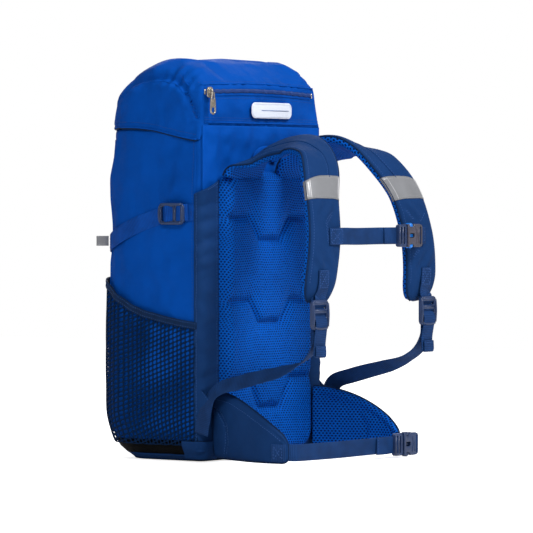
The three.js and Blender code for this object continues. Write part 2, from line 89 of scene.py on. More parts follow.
def profile(stations):
    """Monotone smooth interpolation through (position, value) stations."""
    xs = np.array([s[0] for s in stations], float)
    ys = np.array([s[1] for s in stations], float)
    slopes = np.diff(ys) / np.diff(xs)
    tangents = np.zeros(len(xs))
    tangents[0], tangents[-1] = slopes[0], slopes[-1]
    for i in range(1, len(xs) - 1):
        a, b = slopes[i - 1], slopes[i]
        tangents[i] = 2 * a * b / (a + b) if a * b > 0 else 0.0

    def value(x):
        x = min(max(x, xs[0]), xs[-1])
        i = min(int(np.searchsorted(xs, x, side="right")) - 1, len(xs) - 2)
        h = xs[i + 1] - xs[i]
        t = (x - xs[i]) / h
        return (
            (2 * t**3 - 3 * t**2 + 1) * ys[i]
            + (t**3 - 2 * t**2 + t) * h * tangents[i]
            + (-2 * t**3 + 3 * t**2) * ys[i + 1]
            + (t**3 - t**2) * h * tangents[i + 1]
        )

    return value


def spline(points, count):
    """count points evenly spaced along a Catmull-Rom curve through points."""
    p = np.array(points, float)
    p = np.vstack([2 * p[0] - p[1], p, 2 * p[-1] - p[-2]])
    dense = []
    for i in range(1, len(p) - 2):
        for t in np.linspace(0, 1, 24, endpoint=False):
            a, b, c, d = p[i - 1], p[i], p[i + 1], p[i + 2]
            dense.append(
                0.5 * (
                    2 * b + (c - a) * t + (2 * a - 5 * b + 4 * c - d) * t**2 + (3 * b - a - 3 * c + d) * t**3
                )
            )
    dense.append(p[-2])
    dense = np.array(dense)
    run = np.concatenate([[0], np.cumsum(np.linalg.norm(np.diff(dense, axis=0), axis=1))])
    at = np.linspace(0, run[-1], count)
    return np.stack([np.interp(at, run, dense[:, k]) for k in range(3)], axis=1)


def read_at(at, run, table):
    """The row of a table of points or directions at a distance along its run."""
    return np.array([np.interp(at, run, table[:, k]) for k in range(3)])


def polyline_distance(points, place):
    """Distance from a place to a polyline of 2-D points."""
    nearest = 1e9
    for a, b in zip(points, points[1:]):
        d = b - a
        t = min(max(float((place - a) @ d / (d @ d)), 0.0), 1.0)
        nearest = min(nearest, float(np.linalg.norm(place - a - d * t)))
    return nearest


def fabric_noise(x, y, z, scale, seed=0.0):
    """Smooth noise from -1 to 1 at a point in millimetres, with features about scale millimetres wide."""
    return noise.noise(Vector((x / scale + seed, y / scale - seed, z / scale + 2 * seed)))


# ======== materials ========
class Nodes:
    """Builds one material's node tree."""

    def __init__(self, name):
        self.material = bpy.data.materials.new(name)
        self.material.use_nodes = True
        self.tree = self.material.node_tree
        self.shader = self.tree.nodes["Principled BSDF"]

    def add(self, kind, **inputs):
        node = self.tree.nodes.new(kind)
        for key, value in inputs.items():
            self.set(node, key.replace("_", " "), value)
        return node

    def set(self, node, key, value):
        socket = node.inputs[int(key)] if key.isdigit() else node.inputs[key]
        if isinstance(value, bpy.types.NodeSocket):
            self.tree.links.new(value, socket)
        else:
            socket.default_value = value

    def math(self, operation, a, b=0.0, clamp=False):
        node = self.tree.nodes.new("ShaderNodeMath")
        node.operation = operation
        node.use_clamp = clamp
        self.set(node, "0", a)
        self.set(node, "1", b)
        return node.outputs[0]

    def split(self, vector):
        node = self.add("ShaderNodeSeparateXYZ", Vector=vector)
        return node.outputs["X"], node.outputs["Y"], node.outputs["Z"]

    def uv(self):
        return self.add("ShaderNodeUVMap").outputs["UV"]

    def place(self):
        return self.add("ShaderNodeTexCoord").outputs["Object"]

    def noise(self, vector, scale, detail=3.0, roughness=0.5):
        node = self.add("ShaderNodeTexNoise", Vector=vector, Scale=scale, Detail=detail, Roughness=roughness)
        return node.outputs["Fac"]

    def remap(self, value, low, high, to_low=0.0, to_high=1.0):
        node = self.tree.nodes.new("ShaderNodeMapRange")
        for key, v in (
            ("Value", value), ("From Min", low), ("From Max", high), ("To Min", to_low), ("To Max", to_high)
        ):
            self.set(node, key, v)
        return node.outputs["Result"]

    def mix(self, factor, a, b):
        node = self.tree.nodes.new("ShaderNodeMix")
        node.data_type = "RGBA"
        for socket, value in ((node.inputs[0], factor), (node.inputs[6], a), (node.inputs[7], b)):
            if isinstance(value, bpy.types.NodeSocket):
                self.tree.links.new(value, socket)
            else:
                socket.default_value = (*value, 1.0) if isinstance(value, tuple) else value
        return node.outputs[2]

    def bump(self, height, strength, distance, under=None):
        node = self.add("ShaderNodeBump", Height=height, Strength=strength, Distance=distance)
        if under:
            self.tree.links.new(under, node.inputs["Normal"])
        self.tree.links.new(node.outputs["Normal"], self.shader.inputs["Normal"])
        return node.outputs["Normal"]

    def finish(self, colour, roughness, **extra):
        self.set(self.shader, "Base Color", (*colour, 1.0) if isinstance(colour, tuple) else colour)
        self.set(self.shader, "Roughness", roughness)
        for key, value in extra.items():
            self.set(self.shader, key.replace("_", " "), value)
        return self.material


def wave(nodes, coordinate, pitch):
    """A sine from 0 to 1 with the given pitch in metres."""
    turned = nodes.math("MULTIPLY", coordinate, 2 * math.pi / pitch)
    return nodes.remap(nodes.math("SINE", turned), -1.0, 1.0)


def shade(colour, factor):
    return tuple(min(1.0, c * factor) for c in colour)


def woven(name, colour, pitch=0.9 * MM, roughness=0.72, weave=0.35, specular=0.045, drape=12 * MM):
    """A plain-woven polyester: a fine over-and-under weave on soft folds, with slow colour variation."""
    n = Nodes(name)
    u, v, _ = n.split(n.uv())
    a, b = wave(n, u, pitch), wave(n, v, pitch)
    checker = n.math("ABSOLUTE", n.math("SUBTRACT", a, b))
    slow = n.noise(n.place(), 14.0, 4.0)
    fine = n.noise(n.place(), 260.0, 2.0)
    tone = n.math("ADD", n.remap(slow, 0.3, 0.7, 0.0, 0.7), n.remap(checker, 0.0, 1.0, 0.0, 0.3))
    body = n.mix(tone, shade(colour, 0.86), shade(colour, 1.1))
    height = n.math("ADD", n.math("MULTIPLY", checker, 0.7), n.math("MULTIPLY", fine, 0.6))
    folds = n.bump(n.noise(n.place(), 17.0, 2.0, 0.4), 1.0, drape)
    n.bump(height, weave, 0.25 * MM, folds)
    rough = n.remap(fine, 0.3, 0.7, roughness - 0.06, roughness + 0.06)
    return n.finish(body, rough, Specular_IOR_Level=specular)


def ribbed(name, colour, pitch=2.1 * MM):
    """Webbing: ribs across the band, crossed by a herringbone of fine yarns."""
    n = Nodes(name)
    u, v, _ = n.split(n.uv())
    ribs = wave(n, v, pitch)
    yarn = wave(n, n.math("ADD", u, n.math("MULTIPLY", v, 0.5)), pitch * 0.8)
    edge = n.noise(n.place(), 60.0, 3.0)
    tone = n.math("ADD", n.math("MULTIPLY", ribs, 0.6), n.remap(edge, 0.35, 0.65, 0.0, 0.4))
    body = n.mix(tone, shade(colour, 0.6), shade(colour, 1.3))
    height = n.math("ADD", ribs, n.math("MULTIPLY", yarn, 0.35))
    n.bump(height, 0.55, 0.35 * MM)
    return n.finish(body, 0.66, Specular_IOR_Level=0.1)


def air_mesh(name, colour, hole, pitch_u=4.6 * MM, pitch_v=3.0 * MM, size=0.36):
    """Spacer mesh: bright yarn round staggered diamond holes, whose dark colour is painted shade inside the
    openings.
    """
    n = Nodes(name)
    u, v, _ = n.split(n.uv())
    a = n.math("DIVIDE", u, pitch_u)
    b = n.math("DIVIDE", v, pitch_v)
    row = n.math("FLOOR", b)
    shift = n.math("MULTIPLY", n.math("MODULO", n.math("ABSOLUTE", row), 2.0), 0.5)
    du = n.math("ABSOLUTE", n.math("SUBTRACT", n.math("FRACT", n.math("ADD", a, shift)), 0.5))
    dv = n.math("ABSOLUTE", n.math("SUBTRACT", n.math("FRACT", b), 0.5))
    reach = n.math("ADD", du, n.math("MULTIPLY", dv, 0.85))
    open_hole = n.remap(reach, size + 0.06, size - 0.07)
    yarn = n.noise(n.place(), 900.0, 2.0)
    slow = n.noise(n.place(), 12.0, 3.0)
    body = n.mix(n.remap(slow, 0.3, 0.7, 0.0, 1.0), shade(colour, 0.82), shade(colour, 1.12))
    body = n.mix(n.remap(yarn, 0.3, 0.7, 0.0, 0.5), body, shade(colour, 0.7))
    # the holes take the hole colour: painted shade standing in for the depth of each opening
    body = n.mix(open_hole, body, hole)
    height = n.math("SUBTRACT", n.math("MULTIPLY", yarn, 0.3), open_hole)
    n.bump(height, 0.7, 0.8 * MM)
    return n.finish(body, 0.75, Specular_IOR_Level=0.06)


def plastic(name, colour, roughness=0.4, grain=0.15):
    """Moulded plastic with a fine spark texture and rubbed, slightly lighter high spots."""
    n = Nodes(name)
    fine = n.noise(n.place(), 1400.0, 2.0)
    patch = n.noise(n.place(), 45.0, 4.0)
    body = n.mix(n.remap(patch, 0.35, 0.7), shade(colour, 0.9), shade(colour, 1.25))
    n.bump(fine, grain, 0.08 * MM)
    rough = n.remap(patch, 0.3, 0.7, roughness - 0.08, roughness + 0.1)
    return n.finish(body, rough, Specular_IOR_Level=0.5)


def metal(name, colour, roughness=0.3):
    """Cast metal plating, brushed and worn darker in places."""
    n = Nodes(name)
    wear = n.noise(n.place(), 160.0, 4.0)
    body = n.mix(n.remap(wear, 0.4, 0.7), colour, shade(colour, 0.55))
    n.bump(n.noise(n.place(), 900.0, 2.0), 0.12, 0.1 * MM)
    return n.finish(body, n.remap(wear, 0.3, 0.7, roughness - 0.08, roughness + 0.15), Metallic=1.0)


def reflective(name, colour):
    """Glass-bead tape: grey with a fine honeycomb grain and a soft sheen."""
    n = Nodes(name)
    grain = n.noise(n.place(), 1100.0, 3.0)
    patch = n.noise(n.place(), 30.0, 3.0)
    body = n.mix(n.remap(patch, 0.3, 0.7), shade(colour, 0.9), shade(colour, 1.1))
    n.bump(grain, 0.25, 0.1 * MM)
    return n.finish(body, n.remap(grain, 0.3, 0.7, 0.38, 0.55), Metallic=0.25, Coat_Weight=0.25)


def plain(name, colour, roughness):
    """Rubber and thread: one colour with fine grain and slow variation."""
    n = Nodes(name)
    grain = n.noise(n.place(), 700.0, 3.0)
    body = n.mix(n.remap(grain, 0.3, 0.7), shade(colour, 0.92), shade(colour, 1.06))
    n.bump(grain, 0.12, 0.12 * MM)
    return n.finish(body, n.remap(grain, 0.3, 0.7, roughness - 0.05, roughness + 0.08))


ROYAL = (0.0, 0.057, 0.325)
BRIGHT = (0.0, 0.092, 0.48)
NAVY = (0.006, 0.032, 0.118)
NAVY_DEEP = (0.002, 0.017, 0.062)
# Near-black blue for the air mesh's holes: painted shade inside the openings.
HOLE_SHADE = (0.0, 0.006, 0.045)

SHELL = woven("shell_polyester", ROYAL, drape=26 * MM)
SHELL_LINING = woven("shell_lining", shade(ROYAL, 0.6))
NAVY_CLOTH = woven("navy_polyester", NAVY, pitch=1.1 * MM)
NAVY_BINDING = ribbed("navy_binding", NAVY_DEEP, pitch=0.9 * MM)
NAVY_WEB = ribbed("navy_webbing", NAVY)
BRIGHT_WEB = ribbed("bright_webbing", shade(ROYAL, 0.86))
MESH = air_mesh("air_mesh", BRIGHT, HOLE_SHADE)
NET = woven("pocket_net", shade(NAVY_DEEP, 0.8), pitch=0.7 * MM)
BLACK_CLOTH = woven("black_coated_cloth", (0.002, 0.002, 0.0025), pitch=1.4 * MM, roughness=0.6)
NAVY_PLASTIC = plastic("navy_acetal", (0.009, 0.026, 0.085))
BLUE_PLASTIC = plastic("blue_acetal", (0.004, 0.16, 0.6), 0.35)
GREY_PLASTIC = plastic("grey_acetal", (0.045, 0.042, 0.062), 0.42)
BLACK_PLASTIC = plastic("black_plastic", (0.012, 0.012, 0.014), 0.45)
STEEL = metal("worn_zinc", (0.55, 0.5, 0.43))
THREAD_GREY = plain("grey_thread", (0.3, 0.3, 0.31), 0.7)
BLACK_CORD = plain("black_cord", (0.008, 0.008, 0.01), 0.75)
# A lighter copy of the reflective tape for its folded edges: a painted highlight.
TAPE_HIGHLIGHT = reflective("reflective_highlight", (0.42, 0.42, 0.44))
TAPE = reflective("reflective_tape", (0.2, 0.205, 0.22))
LABEL = plain("white_label", (0.64, 0.68, 0.78), 0.5)
INK = plain("label_line", (0.15, 0.22, 0.42), 0.5)
THREAD_NAVY = plain("navy_thread", shade(NAVY, 2.3), 0.7)
THREAD_BLUE = plain("blue_thread", shade(ROYAL, 0.62), 0.65)
ZIP_COIL = plain("zip_coil", shade(ROYAL, 0.55), 0.45)
FOAM = plain("closed_cell_foam", (0.16, 0.16, 0.18), 0.85)


# ======== meshes ========
def build(name, points, faces, material, uvs=None, shade_smooth=True):
    """A mesh object from points in millimetres and, for each point, a UV in millimetres."""
    mesh = bpy.data.meshes.new(name)
    mesh.from_pydata((np.asarray(points, float) * MM).tolist(), [], [list(f) for f in faces])
    mesh.materials.append(material)
    if uvs is not None:
        set_uvs(mesh, np.asarray(uvs, float) * MM)
    if shade_smooth:
        mesh.shade_smooth()
    piece = bpy.data.objects.new(name, mesh)
    bpy.context.scene.collection.objects.link(piece)
    return piece


def set_uvs(mesh, uvs):
    layer = mesh.uv_layers.new(name="UVMap")
    corner = np.zeros(len(mesh.loops), np.int32)
    mesh.loops.foreach_get("vertex_index", corner)
    layer.data.foreach_set("uv", np.asarray(uvs)[corner].astype(np.float32).ravel())


def coordinates(piece):
    co = np.zeros(len(piece.data.vertices) * 3)
    piece.data.vertices.foreach_get("co", co)
    return co.reshape(-1, 3) / MM


def move_points(piece, points):
    piece.data.vertices.foreach_set("co", (np.asarray(points) * MM).ravel())
    piece.data.update()


def uv_from(piece, mapping):
    """Gives piece UVs in millimetres worked out from each point's place."""
    set_uvs(piece.data, np.array([mapping(*p) for p in coordinates(piece)]) * MM)


def grid_faces(rows, columns, closed=False):
    """Quads of a grid. With closed, the last column joins the first."""
    faces = []
    for i in range(rows - 1):
        for j in range(columns if closed else columns - 1):
            k = (j + 1) % columns
            faces.append((i * columns + j, i * columns + k, (i + 1) * columns + k, (i + 1) * columns + j))
    return faces


def grid(name, points, material, uvs=None, closed=False, flip=False):
    """A sheet through a rows x columns x 3 array of points."""
    points = np.asarray(points, float)
    rows, columns = points.shape[:2]
    faces = grid_faces(rows, columns, closed)
    if flip:
        faces = [f[::-1] for f in faces]
    uvs = None if uvs is None else np.asarray(uvs, float).reshape(-1, 2)
    return build(name, points.reshape(-1, 3), faces, material, uvs)


def loft(name, rings, material, uvs=None):
    """A closed solid skinned over rings of equal length, with flat ends."""
    rings = np.asarray(rings, float)
    rows, columns = rings.shape[:2]
    faces = grid_faces(rows, columns, closed=True)
    faces.append(tuple(range(columns))[::-1])
    faces.append(tuple((rows - 1) * columns + j for j in range(columns)))
    uvs = None if uvs is None else np.asarray(uvs, float).reshape(-1, 2)
    piece = build(name, rings.reshape(-1, 3), faces, material, uvs)
    face_out(piece)
    return piece


@contextmanager
def editing(mesh):
    """A mesh opened for bmesh work and written back afterwards."""
    work = bmesh.new()
    work.from_mesh(mesh)
    yield work
    work.to_mesh(mesh)
    work.free()


def face_out(piece):
    with editing(piece.data) as work:
        bmesh.ops.recalc_face_normals(work, faces=work.faces)


def modifier(piece, kind, **settings):
    added = piece.modifiers.new(kind.title(), kind)
    for key, value in settings.items():
        setattr(added, key, value)
    return added


def bake(piece):
    """Applies a piece's modifiers."""
    bpy.context.view_layer.update()
    evaluated = piece.evaluated_get(bpy.context.evaluated_depsgraph_get())
    mesh = bpy.data.meshes.new_from_object(evaluated)
    piece.modifiers.clear()
    piece.data = mesh
    return piece


def thicken(piece, thickness, offset=-1.0):
    modifier(piece, "SOLIDIFY", thickness=thickness * MM, offset=offset, use_rim=True)
    return bake(piece)


def on_side(piece, side):
    """Moves a piece laid out on the left over to the right if side is RIGHT.

    A piece laid out on the right is given -side.
    """
    if side == RIGHT:
        points = coordinates(piece)
        points[:, 0] *= -1
        move_points(piece, points)
        piece.data.flip_normals()
    return piece


def merged(name, pieces):
    """Joins pieces into one object that keeps their materials."""
    work = bmesh.new()
    materials = []
    uv = work.loops.layers.uv.new("UVMap")
    for piece in pieces:
        part = bmesh.new()
        part.from_mesh(piece.data)
        source_uv = part.loops.layers.uv.active
        slots = []
        for material in piece.data.materials:
            if material not in materials:
                materials.append(material)
            slots.append(materials.index(material))
        copied = {v: work.verts.new(v.co) for v in part.verts}
        for face in part.faces:
            new = work.faces.new([copied[v] for v in face.verts])
            new.material_index = slots[face.material_index] if slots else 0
            new.smooth = face.smooth
            if source_uv:
                for loop, source in zip(new.loops, face.loops):
                    loop[uv].uv = source[source_uv].uv
        part.free()
        bpy.data.objects.remove(piece)
    mesh = bpy.data.meshes.new(name)
    work.to_mesh(mesh)
    work.free()
    for material in materials:
        mesh.materials.append(material)
    whole = bpy.data.objects.new(name, mesh)
    bpy.context.scene.collection.objects.link(whole)
    return whole


def place(piece, body, node=None, slot=None):
    """Rides piece on a body, and lets it stand for a CAD node or a list of them."""
    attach(piece, body)
    if node:
        nodes = [node] if isinstance(node, str) else node
        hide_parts(*nodes)
    return piece


# ---- bands, tubes and stitches along a path ----
def frames(path, across):
    """Unit tangent, width and normal directions along a path. across is one direction or one per point."""
    path = np.asarray(path, float)
    tangent = np.gradient(path, axis=0)
    for i in range(1, len(tangent)):
        if np.linalg.norm(tangent[i]) < 1e-6:
            tangent[i] = tangent[i - 1]
    tangent /= np.linalg.norm(tangent, axis=1)[:, None]
    wide = np.broadcast_to(np.asarray(across, float), path.shape).copy()
    wide -= (wide * tangent).sum(1)[:, None] * tangent
    wide /= np.linalg.norm(wide, axis=1)[:, None]
    return tangent, wide, np.cross(tangent, wide)


def distance_along(path):
    steps = np.linalg.norm(np.diff(np.asarray(path, float), axis=0), axis=1)
    return np.concatenate([[0.0], np.cumsum(steps)])


def rounded_section(width, thickness, steps=3):
    """A flat band's outline: straight faces and round edges, as (across, height) points."""
    r = thickness / 2
    points = []
    for centre, start in ((width / 2 - r, -90), (-width / 2 + r, 90)):
        for i in range(steps * 2 + 1):
            a = math.radians(start + i * 180 / (steps * 2))
            points.append((centre + r * math.cos(a), r * math.sin(a)))
    across = np.linspace(width / 2 - r, -width / 2 + r, 5)[1:-1]
    top = [(x, r) for x in across]
    bottom = [(-x, -r) for x in across]
    half = steps * 2 + 1
    return np.array(points[:half] + top + points[half:] + bottom)


def ribbon(name, path, across, material, width=WEBBING, thickness=WEBBING_THICKNESS, lift=0.0):
    """Webbing along a path: u runs across it and v along it."""
    path = np.asarray(path, float)
    _, wide, normal = frames(path, across)
    run = distance_along(path)
    outline = rounded_section(width, thickness)
    rings, uvs = [], []
    for i, centre in enumerate(path):
        rings.append([centre + wide[i] * a + normal[i] * (h + lift) for a, h in outline])
        uvs.append([(a, run[i]) for a, _ in outline])
    return loft(name, rings, material, uvs)


def tube(name, path, radius, material, sides=8, squash=1.0, across=(0.0, 0.0, 1.0)):
    """A round cord or piping along a path."""
    path = np.asarray(path, float)
    _, wide, normal = frames(path, across)
    run = distance_along(path)
    turns = [2 * math.pi * k / sides for k in range(sides)]
    rings = [
        [c + radius * (wide[i] * math.cos(t) + normal[i] * math.sin(t) * squash) for t in turns]
        for i, c in enumerate(path)
    ]
    uvs = [[(radius * t, run[i]) for t in turns] for i in range(len(path))]
    return loft(name, rings, material, uvs)


def surface_of(piece):
    """A search tree over a piece's faces."""
    work = bmesh.new()
    work.from_mesh(piece.data)
    bmesh.ops.triangulate(work, faces=work.faces)
    tree = BVHTree.FromBMesh(work)
    work.free()
    return tree


def on_surface(tree, path):
    """Snaps a path to a surface, and gives the surface normals there."""
    points, normals = [], []
    for p in path:
        found, normal, _, _ = tree.find_nearest(Vector(np.asarray(p) * MM))
        points.append(np.array(found) / MM)
        normals.append(np.array(normal))
    return np.array(points), np.array(normals)


def cast(tree, path, direction):
    """Drops each point of a path along a direction onto a surface. A point that misses is left out."""
    points, normals = [], []
    for p in path:
        start = np.asarray(p, float) - np.asarray(direction, float) * 200
        found, normal, _, _ = tree.ray_cast(Vector(start * MM), Vector(direction))
        if found is not None:
            points.append(np.array(found) / MM)
            normals.append(np.array(normal))
    return np.array(points), np.array(normals)


def stitches(name, path, normals, material, length=2.3, gap=1.1, radius=0.33):
    """A run of raised thread stitches, half sunk in the cloth, along a path on a surface."""
    path = np.asarray(path, float)
    run = distance_along(path)
    starts = np.arange(gap, run[-1] - length, length + gap)
    points, faces = [], []
    sides = 5
    profile_along = ((0.0, 0.25, -0.5), (0.2, 0.85, 0.1), (0.8, 0.85, 0.1), (1.0, 0.25, -0.5))

    for start in starts:
        a, b = read_at(start, run, path), read_at(start + length, run, path)
        up = read_at(start + length / 2, run, np.asarray(normals))
        along = (b - a) / np.linalg.norm(b - a)
        up = up / np.linalg.norm(up)
        side = np.cross(along, up)
        first = len(points)
        for t, grow, rise in profile_along:
            centre = a + (b - a) * t + up * rise * radius
            for k in range(sides):
                turn = 2 * math.pi * k / sides
                points.append(centre + radius * grow * (side * math.cos(turn) + up * math.sin(turn)))
        for i in range(3):
            for k in range(sides):
                j = (k + 1) % sides
                row, after = first + i * sides, first + (i + 1) * sides
                faces.append((row + k, row + j, after + j, after + k))
        faces.append(tuple(first + k for k in range(sides))[::-1])
        faces.append(tuple(first + 3 * sides + k for k in range(sides)))
    return build(name, points, faces, material)


def sewn(tree, path, toward=None, thread=THREAD_NAVY, **size):
    """Stitches along a path laid on a surface: dropped in a direction, or else at the nearest place."""
    laid = on_surface(tree, path) if toward is None else cast(tree, path, toward)
    return stitches("row", *laid, thread, **size)


# ---- cloth ----
def settle(piece, pinned, growth=0.02, pressure=0.0, gravity=0.0, frames_run=18, cap=6.0, stiffness=15.0):
    """Runs a short cloth simulation on piece and applies it. pinned(x, y, z) is 1 where the cloth is held.

    growth lets the cloth become that share larger, so it buckles into soft creases. No point moves more
    than cap millimetres.
    """
    before = coordinates(piece)
    group = piece.vertex_groups.new(name="pin")
    for index, p in enumerate(before):
        weight = pinned(*p)
        if weight > 0:
            group.add([index], min(weight, 1.0), "REPLACE")
    cloth = modifier(piece, "CLOTH")
    s = cloth.settings
    s.quality = 6
    s.mass = 0.25
    s.tension_stiffness = stiffness
    s.compression_stiffness = stiffness
    s.shear_stiffness = stiffness / 2
    s.bending_stiffness = 0.4
    s.tension_damping = 12
    s.compression_damping = 12
    s.air_damping = 2
    s.vertex_group_mass = "pin"
    s.pin_stiffness = 1.0
    s.shrink_min = -growth
    s.effector_weights.gravity = gravity
    s.use_pressure = pressure != 0
    s.uniform_pressure_force = pressure
    cloth.collision_settings.use_collision = False
    cloth.collision_settings.use_self_collision = False
    cloth.point_cache.frame_start = 1
    cloth.point_cache.frame_end = frames_run
    scene = bpy.context.scene
    for step in range(1, frames_run + 1):
        scene.frame_set(step)
    bake(piece)
    scene.frame_set(1)
    after = coordinates(piece)
    shift = after - before
    size = np.linalg.norm(shift, axis=1)
    size[size < 1e-9] = 1e-9
    limited = cap * np.tanh(size / cap)
    move_points(piece, before + shift * (limited / size)[:, None])
    return piece


# ======== the bag ========
FRONT_RADIUS = 58
CORNER_RADIUS = 7
bag_half = profile(
    [(3, 107), (10, 116.5), (24, 121.5), (330, 121.5), (388, 120), (396, 119), (BAG_TOP, 117.5)]
)
bag_back = profile([(3, -72), (10, -79), (24, BACK_Y + 0.6), (BAG_TOP, BACK_Y + 0.6)])
bag_front = profile(
    [(3, 50), (10, 62), (24, 74), (60, 83.5), (320, 83.5), (387, 80), (396, 77.5), (BAG_TOP, 72)]
)
# Points along each stretch of the outline, from the middle of the back round by the right side.
STRETCHES = {"back": 12, "back_corner": 5, "side": 24, "front_corner": 16, "front": 26}


def outline(half, back, front, back_radius, front_radius):
    """A rounded rectangle as (x, y) points. Equal indices are matching places at every height."""
    corners = [
        (half - back_radius, back + back_radius, back_radius, -90),
        (half - front_radius, front - front_radius, front_radius, 0),
        (-half + front_radius, front - front_radius, front_radius, 90),
        (-half + back_radius, back + back_radius, back_radius, 180),
    ]
    counts = [STRETCHES[k] for k in ("back_corner", "front_corner", "front_corner", "back_corner")]
    straights = [STRETCHES[k] for k in ("side", "front", "side", "back")]
    points = [(x, back) for x in np.linspace(0, half - back_radius, STRETCHES["back"] + 1)[:-1]]
    for k, (cx, cy, r, start) in enumerate(corners):
        for i in range(counts[k] + 1):
            a = math.radians(start + 90 * i / counts[k])
            points.append((cx + r * math.cos(a), cy + r * math.sin(a)))
        if k < 3:
            nx, ny, nr, nstart = corners[k + 1]
            a = math.radians(nstart)
            end = np.array((nx + nr * math.cos(a), ny + nr * math.sin(a)))
        else:
            end = np.array((0.0, back))
        begin = np.array(points[-1])
        for i in range(1, straights[k]):
            points.append(tuple(begin + (end - begin) * i / straights[k]))
    return np.array(points)


def bag_outline(z, offset=0.0):
    front = bag_front(z) + offset
    return outline(
        bag_half(z) + offset,
        bag_back(z) - offset,
        front,
        CORNER_RADIUS + offset,
        min(FRONT_RADIUS, front - 8) + offset,
    )


# Where the side straps draw the bag in, and where their webbing itself runs, as heights by y.
WAIST_LINE = profile([(-80, 299), (-45, 296), (0, 286), (60, 263), (84, 256)])
COMPRESSION_LINE = profile([(-84, 297), (-40, 295), (0, 286), (60, 263), (84, 256)])
POCKET_EDGE = profile([(-80, 161), (-40, 167), (9, 178), (40, 194), (61, 208), (84, 214)])


def bag_relief(x, y, z):
    """How far the bag's cloth stands out from its plain outline before it settles."""
    side = smooth(-78, -60, y)
    belly = 1.6 * side * math.sin(math.pi * min(max(z / BAG_TOP, 0), 1))
    waist = -2.2 * side * bump(z, WAIST_LINE(y), 14)
    tucks = 2.6 * side * smooth(300, 385, z) * fabric_noise(x * 1.2, y * 1.6 + z * 0.25, z * 0.2, 26, 3.1)
    slump = 3.4 * side * fabric_noise(x, y * 0.8 + 0.35 * z, z * 1.1, 62, 7.7)
    drag = 1.5 * side * fabric_noise(x, y * 0.5 - z * 0.5, z, 24, 5.4) * bump(z, 300, 70)
    pressed = 3.2 * side * smooth(0, -14, z - POCKET_EDGE(y))
    return (
        min(max(belly + waist + tucks + slump + drag, -1.8), 3.0) - 0.6 * side + pressed
    ) * min(smooth(16, 40, z), smooth(402, 380, z))


def make_bag():
    levels = np.concatenate([[3, 6, 10, 15, 20], np.arange(24, BAG_TOP + 1, 3.4), [BAG_TOP]])
    rings, uvs = [], []
    for z in levels:
        flat = bag_outline(z)
        before, after = np.roll(flat, 1, axis=0), np.roll(flat, -1, axis=0)
        along = after - before
        normal = np.stack([along[:, 1], -along[:, 0]], axis=1)
        normal /= np.linalg.norm(normal, axis=1)[:, None]
        relief = np.array([bag_relief(x, y, z) for x, y in flat])
        moved = flat + normal * relief[:, None]
        rings.append(np.column_stack([moved, np.full(len(flat), z)]))
        uvs.append(np.column_stack([distance_along(flat), np.full(len(flat), z)]))
    piece = grid("bag_shell", rings, SHELL, uvs, closed=True)

    def pinned(x, y, z):
        back = 1.0 if y < -74 else 0.0
        strap = 0.85 * bump(z, WAIST_LINE(y), 9)
        pocket = 0.7 if z < POCKET_EDGE(y) - 6 else 0.0
        ends = 1.0 if z < 26 or z > 390 else 0.0
        return max(back, strap, pocket, ends)

    settle(piece, pinned, growth=0.022, pressure=0.6, frames_run=22, cap=4.0)
    return piece


def make_bag_details(tree):
    """Piping down the back corners and the front seams, with a row of stitches beside each."""
    parts = []
    for side in (LEFT, RIGHT):
        corner = [(side * 122, BACK_Y + 10, z) for z in np.linspace(300, 388, 70)]
        points, normals = on_surface(tree, corner)
        piping = tube("piping", points - normals * 0.1, 0.9, SHELL, across=(0, 1, 0))
        row = [(side * 122, BACK_Y + 13.5, z) for z in np.linspace(24, 384, 90)]
        parts += [piping, sewn(tree, row, thread=THREAD_BLUE)]
        seam = [(side * 105.5, 66.5, z) for z in np.linspace(30, 384, 90)]
        points, normals = on_surface(tree, seam)
        parts.append(tube("seam", points + normals * 0.1, 1.1, SHELL, across=(0, 1, 0)))
        row = [(side * 110.5, 60.5, z) for z in np.linspace(212, 376, 60)]
        parts.append(sewn(tree, row, thread=THREAD_BLUE))
    place(merged("bag_piping", parts), "root", slot="shell_blue")


# ======== the back: yoke, side strips and padded panel ========
def make_yoke():
    """The plain panel above the straps, with soft drapes under the hood seam."""
    rows, uvs = [], []
    for z in np.linspace(318, 400.4, 34):
        row = []
        for x in np.linspace(-119.5, 119.5, 90):
            edge = smooth(119.5, 108, abs(x)) * smooth(401, 390, z) * smooth(318, 328, z)
            drape = 0.9 * fabric_noise(x, 0, z * 0.35, 19, 1.3) + 0.7 * fabric_noise(x * 0.6, 5, z, 34, 4.4)
            pressed = smooth(96, 84, abs(x)) * smooth(388, 372, z)
            row.append((x, BACK_Y - 0.2 - edge * (1.1 + drape) * (1 - 0.9 * pressed), z))
        rows.append(row)
        uvs.append([(x, z) for x, _, _ in row])
    yoke = thicken(grid("yoke_cloth", rows, SHELL, uvs), 0.6)
    hinge = [(x, BACK_Y + 1.5, 399.4) for x in np.linspace(-106, 106, 40)]
    tape = ribbon("hinge_tape", hinge, (0, 0, 1), SHELL, width=6.6, thickness=1.0)
    place(merged("yoke_cloth", [yoke, tape]), "root", "yoke_panel", "shell_blue")


def strip_top(x):
    return lerp(335, 323.5, (abs(x) - 90) / 31.5)


